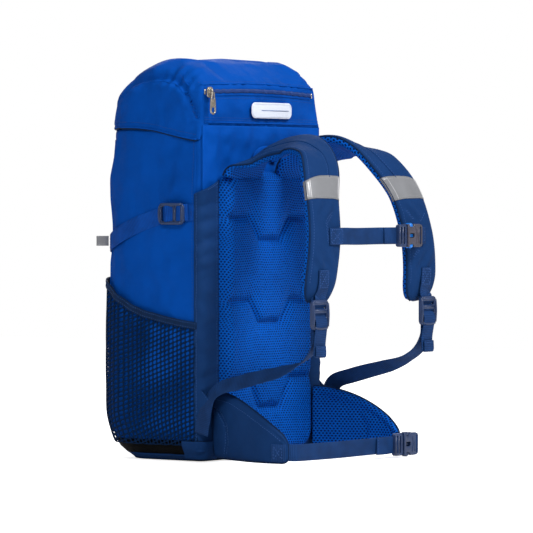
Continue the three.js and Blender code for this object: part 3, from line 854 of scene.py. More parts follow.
def make_side_strip(side):
    """The navy strip beside the back panel and round the corner, puckered across by its two seams."""
    rows, uvs = [], []
    indices = np.concatenate(
        [np.linspace(9.3, 12, 12), np.linspace(12.4, 17, 10), np.linspace(17.1, 17.5, 3)]
    )
    for t in np.linspace(0, 1, 150):
        row = []
        for index in indices:
            flat, facing = outline_at(200, 0.5, index)
            z = lerp(12, strip_top(min(flat[0], 121.2)) - 0.6 * max(flat[1] - BACK_Y, 0), t)
            flat, facing = outline_at(max(z, 26), 0.5, index)
            across = (index - 9.3) / 8.2
            middle = math.sin(math.pi * across) ** 0.5
            pucker = 3.4 * fabric_noise(index * 0.3, side * 9, z + index * 1.2, 11, 2.2)
            pull = 4.6 * max(0.0, fabric_noise(index * 0.5, side * 4, z - index * 1.4, 19, 9.1)) ** 1.2
            out = 0.7 + middle * (1.2 + pucker + pull)
            row.append((side * (flat[0] + facing[0] * out), flat[1] + facing[1] * out, z))
        rows.append(row)
        uvs.append([(r, p[2]) for r, p in zip(distance_along(row), row)])
    strip = grid("strip", rows, NAVY_CLOTH, uvs, flip=side == RIGHT)
    strip = thicken(strip, 0.7)
    tree = surface_of(strip)
    rows = []
    for x, y in ((92.6, -100), (130, -77)):
        line = [(side * x, y, z) for z in np.linspace(16, strip_top(min(x, 121)) - 4, 130)]
        rows.append(sewn(tree, line, radius=0.28))
    line = [(side * x, BACK_Y - 5, strip_top(x) - 2.6) for x in np.linspace(92, 117, 20)]
    rows.append(sewn(tree, line, (0, 1, 0)))
    piece = merged(f"{SIDE_NAME[side]}_strip_cloth", [strip] + rows)
    place(piece, "root", f"{SIDE_NAME[side]}_side_strip", "navy_fabric")


PANEL_HALF, PANEL_LOW, PANEL_HIGH, PANEL_DEPTH, PANEL_CORNER = 89, 8, 346, 15.5, 26
PANEL_MIDDLE, PANEL_REACH = (PANEL_LOW + PANEL_HIGH) / 2, (PANEL_HIGH - PANEL_LOW) / 2
# Each quilting line runs level across the panel and dips in a trapezoid at the middle: (level, dip).
QUILTING = ((291, 263), (191, 164), (97, 62))


def quilt_lines():
    for level, dip in QUILTING:
        yield [(-PANEL_HALF, level), (-41, level), (-21, dip), (21, dip), (41, level), (PANEL_HALF, level)]


QUILT_POINTS = [np.array(line, float) for line in quilt_lines()]


def quilt_distance(x, z):
    return min(polyline_distance(line, np.array((x, z))) for line in QUILT_POINTS)


def panel_edge(x, z):
    """Distance in from the panel's rounded outline."""
    qx = abs(x) - (PANEL_HALF - PANEL_CORNER)
    qz = abs(z - PANEL_MIDDLE) - (PANEL_REACH - PANEL_CORNER)
    return PANEL_CORNER - math.hypot(max(qx, 0), max(qz, 0)) - min(max(qx, qz), 0)


def panel_height(x, z):
    edge = min(max(panel_edge(x, z), 0.0) / 13.0, 1.0)
    pad = PANEL_DEPTH * math.sqrt(1 - (1 - edge) ** 2)
    d = quilt_distance(x, z)
    groove = 5.6 * math.exp(-((d / 4.0) ** 2)) + 3.2 * math.exp(-((d / 13.0) ** 2))
    return max(pad - groove * edge, 0.3)


def make_back_panel():
    columns = np.linspace(-PANEL_HALF, PANEL_HALF, 84)
    levels = np.linspace(PANEL_LOW, PANEL_HIGH, 156)
    rows = []
    for z in levels:
        # the outline's rounded corners squeeze the end rows inwards
        over = max(abs(z - PANEL_MIDDLE) - (PANEL_REACH - PANEL_CORNER), 0)
        reach = (PANEL_HALF - PANEL_CORNER + math.sqrt(max(PANEL_CORNER**2 - over**2, 0))) / PANEL_HALF
        rows.append([(x * reach, BACK_Y - 0.5 - panel_height(x * reach, z), z) for x in columns])
    panel = grid("back_panel_mesh", rows, MESH)
    hold = lambda x, y, z: 1.0 if panel_edge(x, z) < 5 or quilt_distance(x, z) < 3.5 else 0.15
    settle(panel, hold, growth=0.012, pressure=1.2, frames_run=14, cap=2.0)
    set_uvs(panel.data, walked(coordinates(panel).reshape(len(levels), len(columns), 3)) * MM)
    tree = surface_of(panel)
    parts = [panel]
    for line in quilt_lines():
        path = spline([(x, BACK_Y - 30, z) for x, z in line_points(line, 60)], 240)
        parts.append(sewn(tree, path, (0, 1, 0), thread=THREAD_BLUE, length=2.0, gap=1.4, radius=0.28))
    place(merged("back_panel_cover", parts), "root", "back_panel", "air_mesh")


def walked(points):
    """UVs measured over a sheet's own surface, from its middle column and its first row."""
    across = np.zeros(points.shape[:2])
    up = np.zeros(points.shape[:2])
    across[:, 1:] = np.cumsum(np.linalg.norm(np.diff(points, axis=1), axis=2), axis=1)
    up[1:] = np.cumsum(np.linalg.norm(np.diff(points, axis=0), axis=2), axis=0)
    middle = points.shape[1] // 2
    up = (up + up[:, middle : middle + 1] * 3) / 4
    return np.stack([across - across[:, middle : middle + 1], up], axis=2).reshape(-1, 2)


def line_points(line, count):
    """Evenly spaced points along a polyline of (x, z) points."""
    line = np.array(line, float)
    run = np.concatenate([[0], np.cumsum(np.linalg.norm(np.diff(line, axis=0), axis=1))])
    at = np.linspace(0, run[-1], count)
    return list(zip(np.interp(at, run, line[:, 0]), np.interp(at, run, line[:, 1])))


# ======== base and pockets ========
def foot_ring(name, levels, material, depth, scale, seed):
    """Rippled cloth round the bag's foot, through (height, offset from the bag) levels from the top."""
    rings, uvs = [], []
    for z, offset in levels:
        flat = bag_outline(max(z, 3), offset)
        ripple = [depth * fabric_noise(x, y, z, scale, seed) if z > 3 else 0 for x, y in flat]
        rings.append([(x, y, z + r) for (x, y), r in zip(flat, ripple)])
        uvs.append(np.column_stack([distance_along(flat), np.full(len(flat), z)]))
    return loft(name, rings[::-1], material, uvs[::-1])


def make_base():
    """A black coated boot under the bag, with a navy edge at its foot and patches round its back corners."""
    boot = ((26, 0.6), (24, 2.6), (15, 3.0), (9, 2.4), (5, 0.2), (1.5, -3), (0.15, -7))
    edge = ((8.6, 1.6), (8.2, 3.4), (5, 3.6), (2.2, 2.6), (0.4, -0.5), (0.2, -4))
    parts = [
        foot_ring("boot", boot, BLACK_CLOTH, 0.35, 9, 5.0), foot_ring("edge", edge, NAVY_CLOTH, 0.7, 14, 8.0)
    ]
    for side in (LEFT, RIGHT):
        rows = []
        for z in np.linspace(3.5, 25, 14):
            row = []
            for index in np.linspace(6.5, 22, 40):
                flat, facing = outline_at(max(z, 9), 3.4, index)
                out = 0.5 * fabric_noise(index, z, side, 5, 3.0) + 0.5 - 1.6 * smooth(8, 3.5, z)
                row.append((side * (flat[0] + facing[0] * out), flat[1] + facing[1] * out, z))
            rows.append(row)
        patch = grid(
            "patch",
            rows,
            NAVY_CLOTH,
            [[(i * 3.0, z) for i in range(40)] for z in np.linspace(3.5, 25, 14)],
            flip=side == RIGHT,
        )
        parts.append(thicken(patch, 0.9))
    place(merged("base_boot", parts), "root", "base_panel", "black_fabric")


POCKET_LOW = 20


def side_run(count):
    """Outline places from the back seam round the front corner, as fractional indices of bag_outline."""
    first = STRETCHES["back"] + STRETCHES["back_corner"] - 1
    last = first + STRETCHES["side"] + STRETCHES["front_corner"] * 0.92
    return np.linspace(first, last, count)


def outline_at(z, offset, index):
    """A point of the right-hand outline at a fractional index, and its outward normal."""
    flat = bag_outline(z, offset)
    i = int(index)
    t = index - i
    p = flat[i] * (1 - t) + flat[i + 1] * t
    d = flat[i + 1] - flat[i]
    n = np.array((d[1], -d[0])) / (np.linalg.norm(d) + 1e-9)
    return p, n


def pocket_point(index, u, v, extra=0.0):
    """A place on the right-hand pocket: u from the back seam to the front, v from its foot to its edge."""
    y_top = outline_at(150, 0, index)[0][1]
    top = POCKET_EDGE(y_top)
    z = lerp(POCKET_LOW, top, v)
    p, n = outline_at(z, 0.0, index)
    swell = math.sin(math.pi * min(max(u, 0), 1)) ** 0.7
    puff = (0.4 + 5.0 * smooth(0.35, 1.0, u)) * swell * math.sin(math.pi * (0.06 + 0.80 * v)) ** 0.8
    gather = 1.0 * swell * smooth(0.45, 1.0, v) * math.sin(u * 46 + 2.0 * math.sin(u * 9))
    sag = 0.8 * fabric_noise(p[0], p[1], z, 24, 6.6) * swell
    out = 4.2 * min(1, 5 * u + 0.3) + puff + gather + sag + extra
    return np.array((p[0] + n[0] * out, p[1] + n[1] * out, z))


def make_pocket(side):
    """Net with real holes, gathered into a bound elastic edge."""
    columns, rows, pitch, climb = 27, 45, 5.6, 58
    indices = side_run(columns + 1)
    points, uvs, faces = [], [], []

    def share(i, j):
        """How far up the pocket row j lies at column i: rows climb towards the back seam."""
        top = POCKET_EDGE(outline_at(150, 0, indices[i])[0][1])
        z = POCKET_LOW - climb + j * pitch + climb * (1 - i / columns)
        return min(max((z - POCKET_LOW) / (top - POCKET_LOW), 0.0), 1.0)

    for j in range(rows + 1):
        for i in range(columns + 1):
            v = share(i, j)
            points.append(pocket_point(indices[i], i / columns, v))
            uvs.append((i * 6.8, v * 150))
            start = j * (columns + 1) + i
            if i < columns and j < rows and share(i, j + 1) > v + 1e-6 and share(i + 1, j + 1) > 1e-6:
                faces.append((start, start + 1, start + columns + 2, start + columns + 1))
    sheet = build("net", points, faces, NET, uvs)
    with editing(sheet.data) as work:
        bmesh.ops.remove_doubles(work, verts=work.verts, dist=0.3 * MM)
        bmesh.ops.delete(work, geom=[v for v in work.verts if not v.link_faces], context="VERTS")
    modifier(sheet, "WIREFRAME", thickness=1.9 * MM, use_boundary=True, use_even_offset=False)
    modifier(sheet, "SUBSURF", levels=1)
    bake(sheet)
    sheet.data.shade_smooth()
    fine = side_run(90)
    rim = [pocket_point(index, k / 89, 1.0, 0.8) + np.array((0, 0, 0.5)) for k, index in enumerate(fine)]
    normals = np.array([np.append(outline_at(170, 0, index)[1], 0.0) for index in fine])
    up = np.cross(np.gradient(np.array(rim), axis=0), normals)
    binding = ribbon("binding", rim, up, NAVY_BINDING, width=9, thickness=2.2)
    tree = surface_of(binding)
    lines = []
    for drop in (-2.6, 2.6):
        line, facing = on_surface(tree, np.array(rim) + normals * 3 + np.array((0, 0, drop)))
        lines.append(stitches("row", line, facing, THREAD_NAVY, length=2.0, gap=1.2, radius=0.3))
    name = SIDE_NAME[side] + "_pocket"
    piece = on_side(merged(name + "_net", [sheet, binding] + lines), -side)
    place(piece, "root", [name, name + "_binding"], "pocket_mesh")


# ======== the hood ========
lid_half = profile(
    [(366, 123.5), (438, 122.5), (450, 118.5), (458, 115), (467, 110), (475, 102), (481, 90), (483, 66)]
)
lid_back = profile(
    [(366, -83), (446, -83), (452, -79.5), (458, -74.5), (467, -67), (475, -58.5), (481, -50), (483, -40)]
)
lid_front = profile(
    [(366, 87), (385, 83), (401, 80), (430, 73), (445, 64), (460, 49), (475, 20), (480, 5), (483, -10)]
)
# The hood sits a little inwards at its right back corner, where the pocket pulls on the zip's end.
lid_lean = profile([(401, 0), (439, 8), (450, 8.5), (467, 2), (475, 0)])
HEM_LINE = profile([(-84, 382), (-60, 385.5), (-33, 391), (-4, 396.5), (30, 399), (50, 398.5), (86, 390)])


def hood_outline(level, offset=0.0):
    """The hood's outline at a level from 366 up to its crown at 483."""
    half, back, front = lid_half(level) + offset, lid_back(level) - offset, lid_front(level) + offset
    limit = min(half, (front - back) / 2) - 1
    back_radius = min(8 + max(0.0, level - 448) * 0.35, limit)
    points = outline(half, back, front, back_radius, min(64 + offset, limit))
    lean = lid_lean(level) * np.array([smooth(40, 110, x) * smooth(30, -70, y) for x, y in points])
    points[:, 0] -= lean
    return points


# The seam round the hood's side panel, as (y, z) points from the front to the hem's back end.
HOOD_SEAM = [
    (46, 437), (30, 449), (13, 454.5), (-12, 457), (-31, 456.5), (-47, 451.5), (-58, 442), (-67, 428),
    (-76, 410),
]
HOOD_SEAM_POINTS = np.array(HOOD_SEAM, float)


def hood_relief(x, y, z):
    """Creases of the hood's cloth: puckers over the zip's end and the dart, folds round the front."""
    side = smooth(-70, -30, y)
    drape = 1.0 * fabric_noise(x * 0.8, y * 0.8, z * 0.7, 60, 11.0)
    folds = 1.4 * side * fabric_noise(x, y, z * 0.3, 24, 8.0) * smooth(452, 400, z)
    pucker = 0.0
    if abs(x) > 85:
        off = polyline_distance(HOOD_SEAM_POINTS, np.array((y, z), float))
        pucker -= 2.6 * bump(off, 0, 3.2)
        pucker += 1.8 * bump(off, 9, 6) * smooth(-70, -40, y)
        corner = bump(y, -48, 20) * bump(z, 455, 12)
        pucker += 2.2 * corner * math.sin(0.42 * y + 0.22 * z) - 1.2 * bump(y, -44, 12) * bump(z, 461, 5)
    return drape + folds + pucker


def make_hood_shell():
    """One cloth from the hem to the crown, open along the back below its hinge seam."""
    rings, uvs = [], []
    height = np.concatenate([np.linspace(0, 1, 44), 1 + np.linspace(0.04, 1, 26)])
    for t in height:
        row, uv = [], []
        for k, (x0, y0) in enumerate(hood_outline(HOOD_SHOULDER)):
            hem = HEM_LINE(y0) if y0 > -80 else lerp(LID_SEAM, HEM_LINE(-80), smooth(108, 121, abs(x0)))
            if t <= 1:
                level = lerp(hem, HOOD_SHOULDER, t)
            else:
                level = lerp(HOOD_SHOULDER, HOOD_TOP, 1 - (1 - (t - 1)) ** 1.7)
            x, y = hood_outline(level)[k]
            row.append((x, y, level))
            uv.append((k * 6.0, level * 1.0))
        rings.append(row)
        uvs.append(uv)
    rings = np.array(rings)
    normal = np.cross(np.gradient(rings, axis=1), np.gradient(rings, axis=0))
    normal /= np.linalg.norm(normal, axis=2)[:, :, None] + 1e-9
    relief = np.array([[hood_relief(*p) for p in row] for row in rings])
    rings = rings + normal * np.minimum(relief - 1.0, 1.5)[:, :, None]
    rows, columns = rings.shape[:2]
    points = list(rings.reshape(-1, 3))
    uv = list(np.array(uvs).reshape(-1, 2))
    faces = grid_faces(rows, columns, closed=True)
    crown = rings[-1].mean(axis=0) + np.array((0, 0, 0.4))
    points.append(crown)
    uv.append((0, 500))
    last = (rows - 1) * columns
    faces += [(last + j, last + (j + 1) % columns, len(points) - 1) for j in range(columns)]
    return build("hood_cloth", points, faces, SHELL, uv)


def on_back(piece_tree, path, lift=0.0):
    """Lays (x, z) points on the hood's back face, looking from the wearer's side."""
    points, normals = cast(piece_tree, [(x, BACK_Y - 20, z) for x, z in path], (0, 1, 0))
    return points + normals * lift, normals


def zip_line(x, drop=0.0):
    """The hood zip's height at x: it arches a little between its ends."""
    return ZIP_Z + 3.5 * (1 - ((x + 10) / 114) ** 2) - drop


def make_hood():
    hood = make_hood_shell()

    def pinned(x, y, z):
        hem = 1.0 if z < HEM_LINE(y) + 5 else 0.0
        back = 0.9 if y < -74 and z < 450 else 0.0
        return max(hem, back)

    settle(hood, pinned, growth=0.022, pressure=1.1, frames_run=22, cap=3.2)
    uv_from(hood, lambda x, y, z: (x + y, z + 0.4 * y))
    hood = thicken(hood, 1.2)
    tree = surface_of(hood)
    parts = [hood]
    # seams: hinge seam, double row above it, zip flap and the corner darts
    seam_x = np.linspace(-117, 117, 160)
    points, normals = on_back(tree, [(x, LID_SEAM + 2.6) for x in seam_x], 0.2)
    parts.append(tube("seam_roll", points, 1.0, SHELL, across=(0, 0, 1)))
    for z in (LID_SEAM + 5.5, LID_SEAM + 8.5):
        parts.append(stitches("row", *on_back(tree, [(x, z) for x in seam_x]), THREAD_BLUE))
    flap_x = np.linspace(-122, 105, 150)
    points, normals = on_back(tree, [(x, zip_line(x, -8.6)) for x in flap_x if abs(x) < 118], 0.4)
    parts.append(tube("flap_fold", points, 1.2, SHELL, across=(0, 0, 1)))
    parts.append(
        stitches(
            "row", *on_back(tree, [(x, zip_line(x, -11.6)) for x in flap_x if abs(x) < 117]), THREAD_BLUE
        )
    )
    parts.append(
        stitches("row", *on_back(tree, [(x, zip_line(x, 9.0)) for x in flap_x if abs(x) < 114]), THREAD_BLUE)
    )
    for side in (LEFT, RIGHT):
        seam = spline([(side * 124, y, z) for y, z in HOOD_SEAM], 120)
        points, normals = on_surface(tree, seam)
        parts.append(tube("side_seam", points - normals * 0.3, 0.9, SHELL, across=(1, 0, 0)))
        parts.append(sewn(tree, points + np.array((0, 0, -3.0)), thread=THREAD_BLUE))
        dart = spline(
            [(side * 122, -60, 448), (side * 116, -52, 458), (side * 104, -44, 468), (side * 92, -38, 475)],
            60,
        )
        points, normals = on_surface(tree, dart)
        parts.append(tube("dart", points - normals * 0.5, 0.9, SHELL, across=(0, 0, 1)))
        parts.append(sewn(tree, dart + np.array((side * 1.5, 3.5, 0)), thread=THREAD_BLUE))
    # hem: a turned and stitched edge, from one back corner round the front to the other, with a painted
    # shadow line under it
    hem = [(x, y, HEM_LINE(y)) for x, y in hood_outline(400, 0.2) if y > -80]
    first = max(range(len(hem)), key=lambda i: np.hypot(hem[i][0] - hem[i - 1][0], hem[i][1] - hem[i - 1][1]))
    hem = hem[first:] + hem[:first]
    hem = spline(hem[::3], 260)
    points, normals = on_surface(tree, hem)
    parts.append(tube("hem_roll", points + normals * 0.1, 1.15, SHELL, across=(0, 0, 1)))
    # a dark navy tube tucked under the hem roll: painted shadow that the hem casts on the bag below
    facing = points - normals * 0.9 + np.array((0, 0, -1.5))
    parts.append(tube("hem_shadow_tube", facing, 1.3, NAVY_BINDING, across=(0, 0, 1)))
    parts.append(sewn(tree, hem + np.array((0, 0, 6.0)), thread=THREAD_BLUE))
    piece = merged("hood", parts)
    place(piece, "lid", ["lid"], "shell_blue")
    return tree


def make_zip(tree):
    """A coil zip on the hood pocket: two tapes, the coil between them, and end stops."""
    parts = []
    x_all = np.linspace(-115, 100, 120)
    points, _ = on_back(tree, [(x, zip_line(x)) for x in x_all], 0.5)
    up = np.array((0, 0, 1.0))
    tape = ribbon("tape", points, up, SHELL, width=11, thickness=0.9)
    parts.append(tape)
    coil_points, coil_normals = on_back(tree, [(x, zip_line(x)) for x in np.linspace(-104, 100, 290)], 1.0)
    for k in range(len(coil_points) - 1):
        p, n = coil_points[k], coil_normals[k]
        lean = np.array((0.5, 0, 0))
        tooth = [
            p - up * 2.3 + n * 0.1,
            p - up * 1.4 + n * 0.9 + lean,
            p + up * 1.4 + n * 0.9 - lean,
            p + up * 2.3 + n * 0.1,
        ]
        parts.append(tube("tooth", tooth, 0.3, ZIP_COIL, sides=5, across=(1, 0, 0)))
    for x in (-115.5, 101.5):
        p, n = on_back(tree, [(x, zip_line(x))], 0.9)
        stop = [p[0] - up * 3, p[0] + up * 3]
        parts.append(ribbon("stop", stop, (1, 0, 0), STEEL, width=2.6, thickness=1.6))
    place(merged("hood_zip", parts), "lid", "lid_zip_tape", "shell_blue")


def plate(name, shape, holes, depth, material, bevel=0.5):
    """A flat part about its own middle: an outline in (a, b), depth thick, with holes cut through it.

    Axes: a runs along X, b along Z and the depth along Y.
    """
    curve = bpy.data.curves.new(name, "CURVE")
    curve.dimensions = "2D"
    curve.fill_mode = "BOTH"
    curve.extrude = max(depth / 2 - bevel, 0.05) * MM
    curve.bevel_depth = bevel * MM
    curve.bevel_resolution = 2
    curve.offset = -bevel * MM
    for ring in [shape] + list(holes):
        line = curve.splines.new("POLY")
        line.points.add(len(ring) - 1)
        for point, (a, b) in zip(line.points, ring):
            point.co = (a * MM, b * MM, 0, 1)
        line.use_cyclic_u = True
    holder = bpy.data.objects.new(name, curve)
    bpy.context.scene.collection.objects.link(holder)
    bpy.context.view_layer.update()
    mesh = bpy.data.meshes.new_from_object(holder.evaluated_get(bpy.context.evaluated_depsgraph_get()))
    bpy.data.objects.remove(holder)
    piece = bpy.data.objects.new(name, mesh)
    bpy.context.scene.collection.objects.link(piece)
    points = coordinates(piece)
    move_points(piece, np.column_stack([points[:, 0], -points[:, 2], points[:, 1]]))
    with editing(mesh) as work:
        bmesh.ops.remove_doubles(work, verts=work.verts, dist=1e-6)
        bmesh.ops.recalc_face_normals(work, faces=work.faces)
    mesh.materials.clear()
    mesh.materials.append(material)
    mesh.shade_smooth()
    modifier(piece, "WEIGHTED_NORMAL", keep_sharp=True)
    return bake(piece)


def rounded(x0, z0, x1, z1, r, steps=5):
    """A rounded rectangle's outline."""
    ring = []
    for cx, cz, start in (
        (x1 - r, z0 + r, -90), (x1 - r, z1 - r, 0), (x0 + r, z1 - r, 90), (x0 + r, z0 + r, 180)
    ):
        for i in range(steps + 1):
            a = math.radians(start + 90 * i / steps)
            ring.append((cx + r * math.cos(a), cz + r * math.sin(a)))
    return ring


def shift(piece, offset):
    move_points(piece, coordinates(piece) + np.array(offset))
    return piece


def box_of(node):
    """A CAD node's corners in millimetres."""
    low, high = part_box(node)
    return low / MM, high / MM


def middle(node):
    low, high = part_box(node)
    return (np.array(low) + np.array(high)) / 2 / MM


SLIDER_SHIFT = -6.5


def make_slider():
    """The zip's slider body with its bridge, and the ringed puller hanging from it."""
    x, _, z = middle("zip_slider") + np.array((SLIDER_SHIFT, 0, 0))
    y_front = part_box("zip_slider")[0].y / MM
    body = plate("body", rounded(x - 5.2, z - 6.6, x + 5.2, z + 6.6, 3.8), [], 2.2, STEEL, 0.6)
    shift(body, (0, y_front + 2.7, 0))
    neck = plate("neck", rounded(x - 3.4, z - 2, x + 3.4, z + 5.6, 2.6), [], 1.6, STEEL, 0.5)
    shift(neck, (0, y_front + 1.0, 0))
    arch = spline(
        [
            (x, y_front + 1.5, z + 4.5), (x, y_front - 0.9, z + 3), (x, y_front - 1.2, z),
            (x, y_front + 1.5, z - 2.6),
        ],
        14,
    )
    bridge = ribbon("bridge", arch, (1, 0, 0), STEEL, width=2.6, thickness=1.3)
    place(merged("slider_body", [body, neck, bridge]), "zip_slider", "zip_slider", "zip_metal")

    low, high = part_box("zip_puller")
    px = (low.x + high.x) / 2 / MM + SLIDER_SHIFT
    top, foot = high.z / MM, low.z / MM
    py = (low.y + high.y) / 2 / MM
    shape = []
    for a, b in (
        (-2.6, top), (2.6, top), (3.0, top - 5), (4.6, top - 9), (5.2, foot + 5), (4.2, foot + 1.4),
        (0, foot - 1), (-4.2, foot + 1.4), (-5.2, foot + 5), (-4.6, top - 9), (-3.0, top - 5),
    ):
        shape.append((px + a, b))
    hole = rounded(px - 3.1, foot + 2.0, px + 3.1, foot + 8.0, 2.6)
    window = rounded(px - 1.5, top - 8.5, px + 1.5, top - 1.8, 1.2)
    tag = shift(plate("tag", shape, [hole, window], 1.8, STEEL, 0.45), (0, py, 0))
    rib = plate("rib", rounded(px - 1.5, foot + 10, px + 1.5, top - 10.5, 0.6), [], 0.7, STEEL, 0.2)
    shift(rib, (0, py - 1.0, 0))
    place(merged("puller_tag", [tag, rib]), "zip_puller", "zip_puller", "zip_metal")


def make_label():
    """A white name label with a blank writing line."""
    low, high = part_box("name_label")
    x0, x1, z0, z1 = low.x / MM, high.x / MM, low.z / MM, high.z / MM
    y = low.y / MM + 0.2
    card = shift(plate("card", rounded(x0, z0, x1, z1, 7, 8), [], 0.9, LABEL, 0.3), (0, y + 0.3, 0))
    rim_shape = rounded(x0 + 1.6, z0 + 1.6, x1 - 1.6, z1 - 1.6, 5.6, 8)
    rim = tube(
        "rim", [(a, y - 0.35, b) for a, b in rim_shape + rim_shape[:1]], 0.3, LABEL, sides=6, across=(0, 1, 0)
    )
    line = ribbon(
        "line",
        [(x0 + 20, y - 0.55, (z0 + z1) / 2), (x1 - 7, y - 0.55, (z0 + z1) / 2)],
        (0, 0, 1),
        INK,
        width=0.8,
        thickness=0.25,
    )
    place(merged("hood_label", [card, rim, line]), "lid", "name_label", "label_white")


# ======== the harness ========
STRAP_RUN = [(-48, -93, 333), (-45, -99, 352), (-44, -116, 369), (-44, -146, 379), (-48, -178, 379),
             (-62, -206, 359), (-86, -227, 322), (-97, -239, 272), (-104, -239, 225), (-107, -232, 191)]
STRAP_EDGE = 4.4
strap_line = spline(STRAP_RUN, 150)
strap_run = distance_along(strap_line)
_, strap_wide, strap_out = frames(strap_line, (1, 0, 0))
# Over the shoulder the strap rolls outwards, so that its outer edge lies lower.
strap_roll = [
    smooth(0.0, 0.14, r) * smooth(0.5, 0.3, r) * math.radians(21) for r in strap_run / strap_run[-1]
]
strap_cos, strap_sin = np.cos(strap_roll)[:, None], np.sin(strap_roll)[:, None]
strap_line = strap_line - strap_out * strap_sin * 21
strap_wide, strap_out = (
    strap_wide * strap_cos + strap_out * strap_sin,
    strap_out * strap_cos - strap_wide * strap_sin,
)


def strap_half(t):
    """Half the strap's width: constant, then rounding in to its tip."""
    return 30 if t < 0.9 else 10 + 20 * math.sqrt(max(0.0, 1 - ((t - 0.9) / 0.1) ** 2))


def strap_point(t, s, height):
    """A point at a share t of the strap's length, s from -1 to 1 across it, height above its middle layer."""
    at = t * strap_run[-1]
    centre, wide, out = (read_at(at, strap_run, table) for table in (strap_line, strap_wide, strap_out))
    flare = 13 * (1 - smooth(0.0, 0.24, t)) * (1 - s) / 2
    return centre + wide * (s * strap_half(t) - flare) + out * height


def strap_cover(t, s):
    """The padded cover's height: a soft crown, dimpled by its stitching and a little creased."""
    tip = math.sqrt(max(0.0, 1 - max(0.0, (t - 0.95) / 0.05) ** 2))
    crown = STRAP_EDGE + (0.6 + 4.2 * tip) * (1 - abs(s) ** 4) ** 0.5
    x, y, z = strap_point(t, s, 0)
    soft = 0.8 * fabric_noise(x, y, z, 18, 4.0) + 0.4 * fabric_noise(x, y, z, 8, 9.0)
    row = -0.7 * bump(abs(s) * 30, 25.5, 1.8)
    pull = 1.5 * bump(z, 240, 11) * math.sin((x + 0.8 * z) * 0.26) * smooth(0.5, 0.7, t)
    fold = 1.1 * bump(z, 297, 9) * math.sin((x - z) * 0.24) * smooth(0.4, 0.5, t)
    return crown + (soft + row + pull + fold) * (1 - s * s) * tip


def strap_at(z):
    """The share of the strap's length where its front run passes height z."""
    front = strap_line[:, 2].argmax()
    tail = strap_line[front:, 2][::-1]
    return np.interp(z, tail, strap_run[front:][::-1]) / strap_run[-1]


def make_shoulder_strap(side):
    """One strap: navy cover, piped edge, bright mesh underneath and round its edge, and its stitching."""
    name = SIDE_NAME[side]
    ts = np.linspace(0, 1, 130)
    across = np.linspace(1, -1, 27)
    rings, uvs = [], []
    for t in ts:
        half, run = strap_half(t), t * strap_run[-1]
        ring = [strap_point(t, s, strap_cover(t, s)) for s in across]
        ring += [strap_point(t, s, STRAP_EDGE - 0.8) for s in (-0.96, -0.5, 0, 0.5, 0.96)]
        rings.append(ring)
        uvs.append([(s * half, run) for s in list(across) + [-0.96, -0.5, 0, 0.5, 0.96]])
    cover = loft("cover", rings, NAVY_CLOTH, uvs)
    tree = surface_of(cover)
    parts = [cover]
    edge_ts = np.linspace(0.0, 0.995, 150)
    for s in (-1, 1):
        parts.append(
            tube(
                "piping",
                [strap_point(t, s, STRAP_EDGE) for t in edge_ts],
                1.0,
                NAVY_BINDING,
                across=(1, 0, 0),
            )
        )
        row = [
            strap_point(t, s * (1 - 4.5 / 30), strap_cover(t, s * 0.85)) for t in np.linspace(0.02, 0.93, 200)
        ]
        parts.append(sewn(tree, row, radius=0.28))
    ridge_t = np.linspace(0.17, strap_at(338), 60)
    ridge = [strap_point(t, lerp(-0.35, 0.3, smooth(0.17, 0.5, t)), 9) for t in ridge_t]
    points, normals = on_surface(tree, ridge)
    parts.append(tube("ridge", points + normals * 0.05, 0.9, NAVY_CLOTH, across=(1, 0, 0)))
    parts.append(sewn(tree, points + np.array((-2.4, 0, 0)), radius=0.28))
    for line in STRAP_SEAMS[side]:
        points, normals = cast(tree, spline([(-x, -240, z) for x, z in line], 40), (0, 1, 0))
        parts.append(stitches("row", points, normals, THREAD_NAVY, radius=0.32))

    rings, uvs = [], []
    for t in ts:
        half, run = strap_half(t), t * strap_run[-1]
        edge = [
            (1 - 0.8 / half, 4.2), (1 + 0.1 / half, 2.6), (1 + 0.2 / half, 0.6), (1 - 0.4 / half, -1.5),
            (1 - 2.6 / half, -2.7),
        ]
        flat = [(s, -2.9 + 0.5 * fabric_noise(s * 30, run, 0, 14, 3.0)) for s in np.linspace(0.85, -0.85, 11)]
        section = edge + flat + [(-s, h) for s, h in edge[::-1]]
        ring = [strap_point(t, s, h) for s, h in section]
        rings.append(ring)
        around_ring = distance_along(ring)
        uvs.append([(a, run) for a in around_ring])
    lining = loft("lining", rings, MESH, uvs)
    cover = on_side(merged(name + "_strap_cover", parts), side)
    place(cover, "harness", name + "_shoulder_pad", "navy_fabric")
    lining.name = name + "_strap_lining"
    place(on_side(lining, side), "harness", name + "_shoulder_lining", "air_mesh")
    make_reflector(side)
    make_end_tab(side)


# Seam lines on each strap as (x, z) runs of the left strap's layout: the sewn patches of the chest strap.
STRAP_SEAMS = {
    LEFT: [
        [(99, 262), (99, 286)], [(97, 264), (97, 284.5)], [(99, 286), (92, 292), (80, 298)],
        [(97, 284.5), (82, 294.5)], [(99, 262), (88, 261.5), (72, 261)],
    ],
    RIGHT: [
        [(72, 300), (86, 286)], [(74.5, 300), (87, 288)], [(112, 296), (98, 285)], [(80, 243), (92, 254)],
        [(82, 242), (94, 253)], [(72, 262), (72, 280)],
    ],
}


def band_on_strap(name, low, high, spread, material, lift, thickness, rows=10, wrap=True):
    """A strip lying across or along the cover between two heights, as a thin closed piece."""
    across = np.linspace(spread, -spread, 25)
    rings, uvs = [], []
    for z in np.linspace(high, low, rows):
        top = [level_point(z, s, lift + thickness) for s in across]
        under = [level_point(z, s, lift) for s in across[::-1]]
        if wrap:
            top = [level_point(z, spread + 0.03, -2.8)] + top + [level_point(z, -spread - 0.03, -2.8)]
            under = [level_point(z, -spread - 0.005, -2.8)] + under + [level_point(z, spread + 0.005, -2.8)]
        rings.append(top + under)
        run = high - z
        width = np.linspace(0, 1, len(top)) * 60
        uvs.append([(w, run) for w in width] + [(w, run) for w in width[::-1]])
    return loft(name, rings, material, uvs)


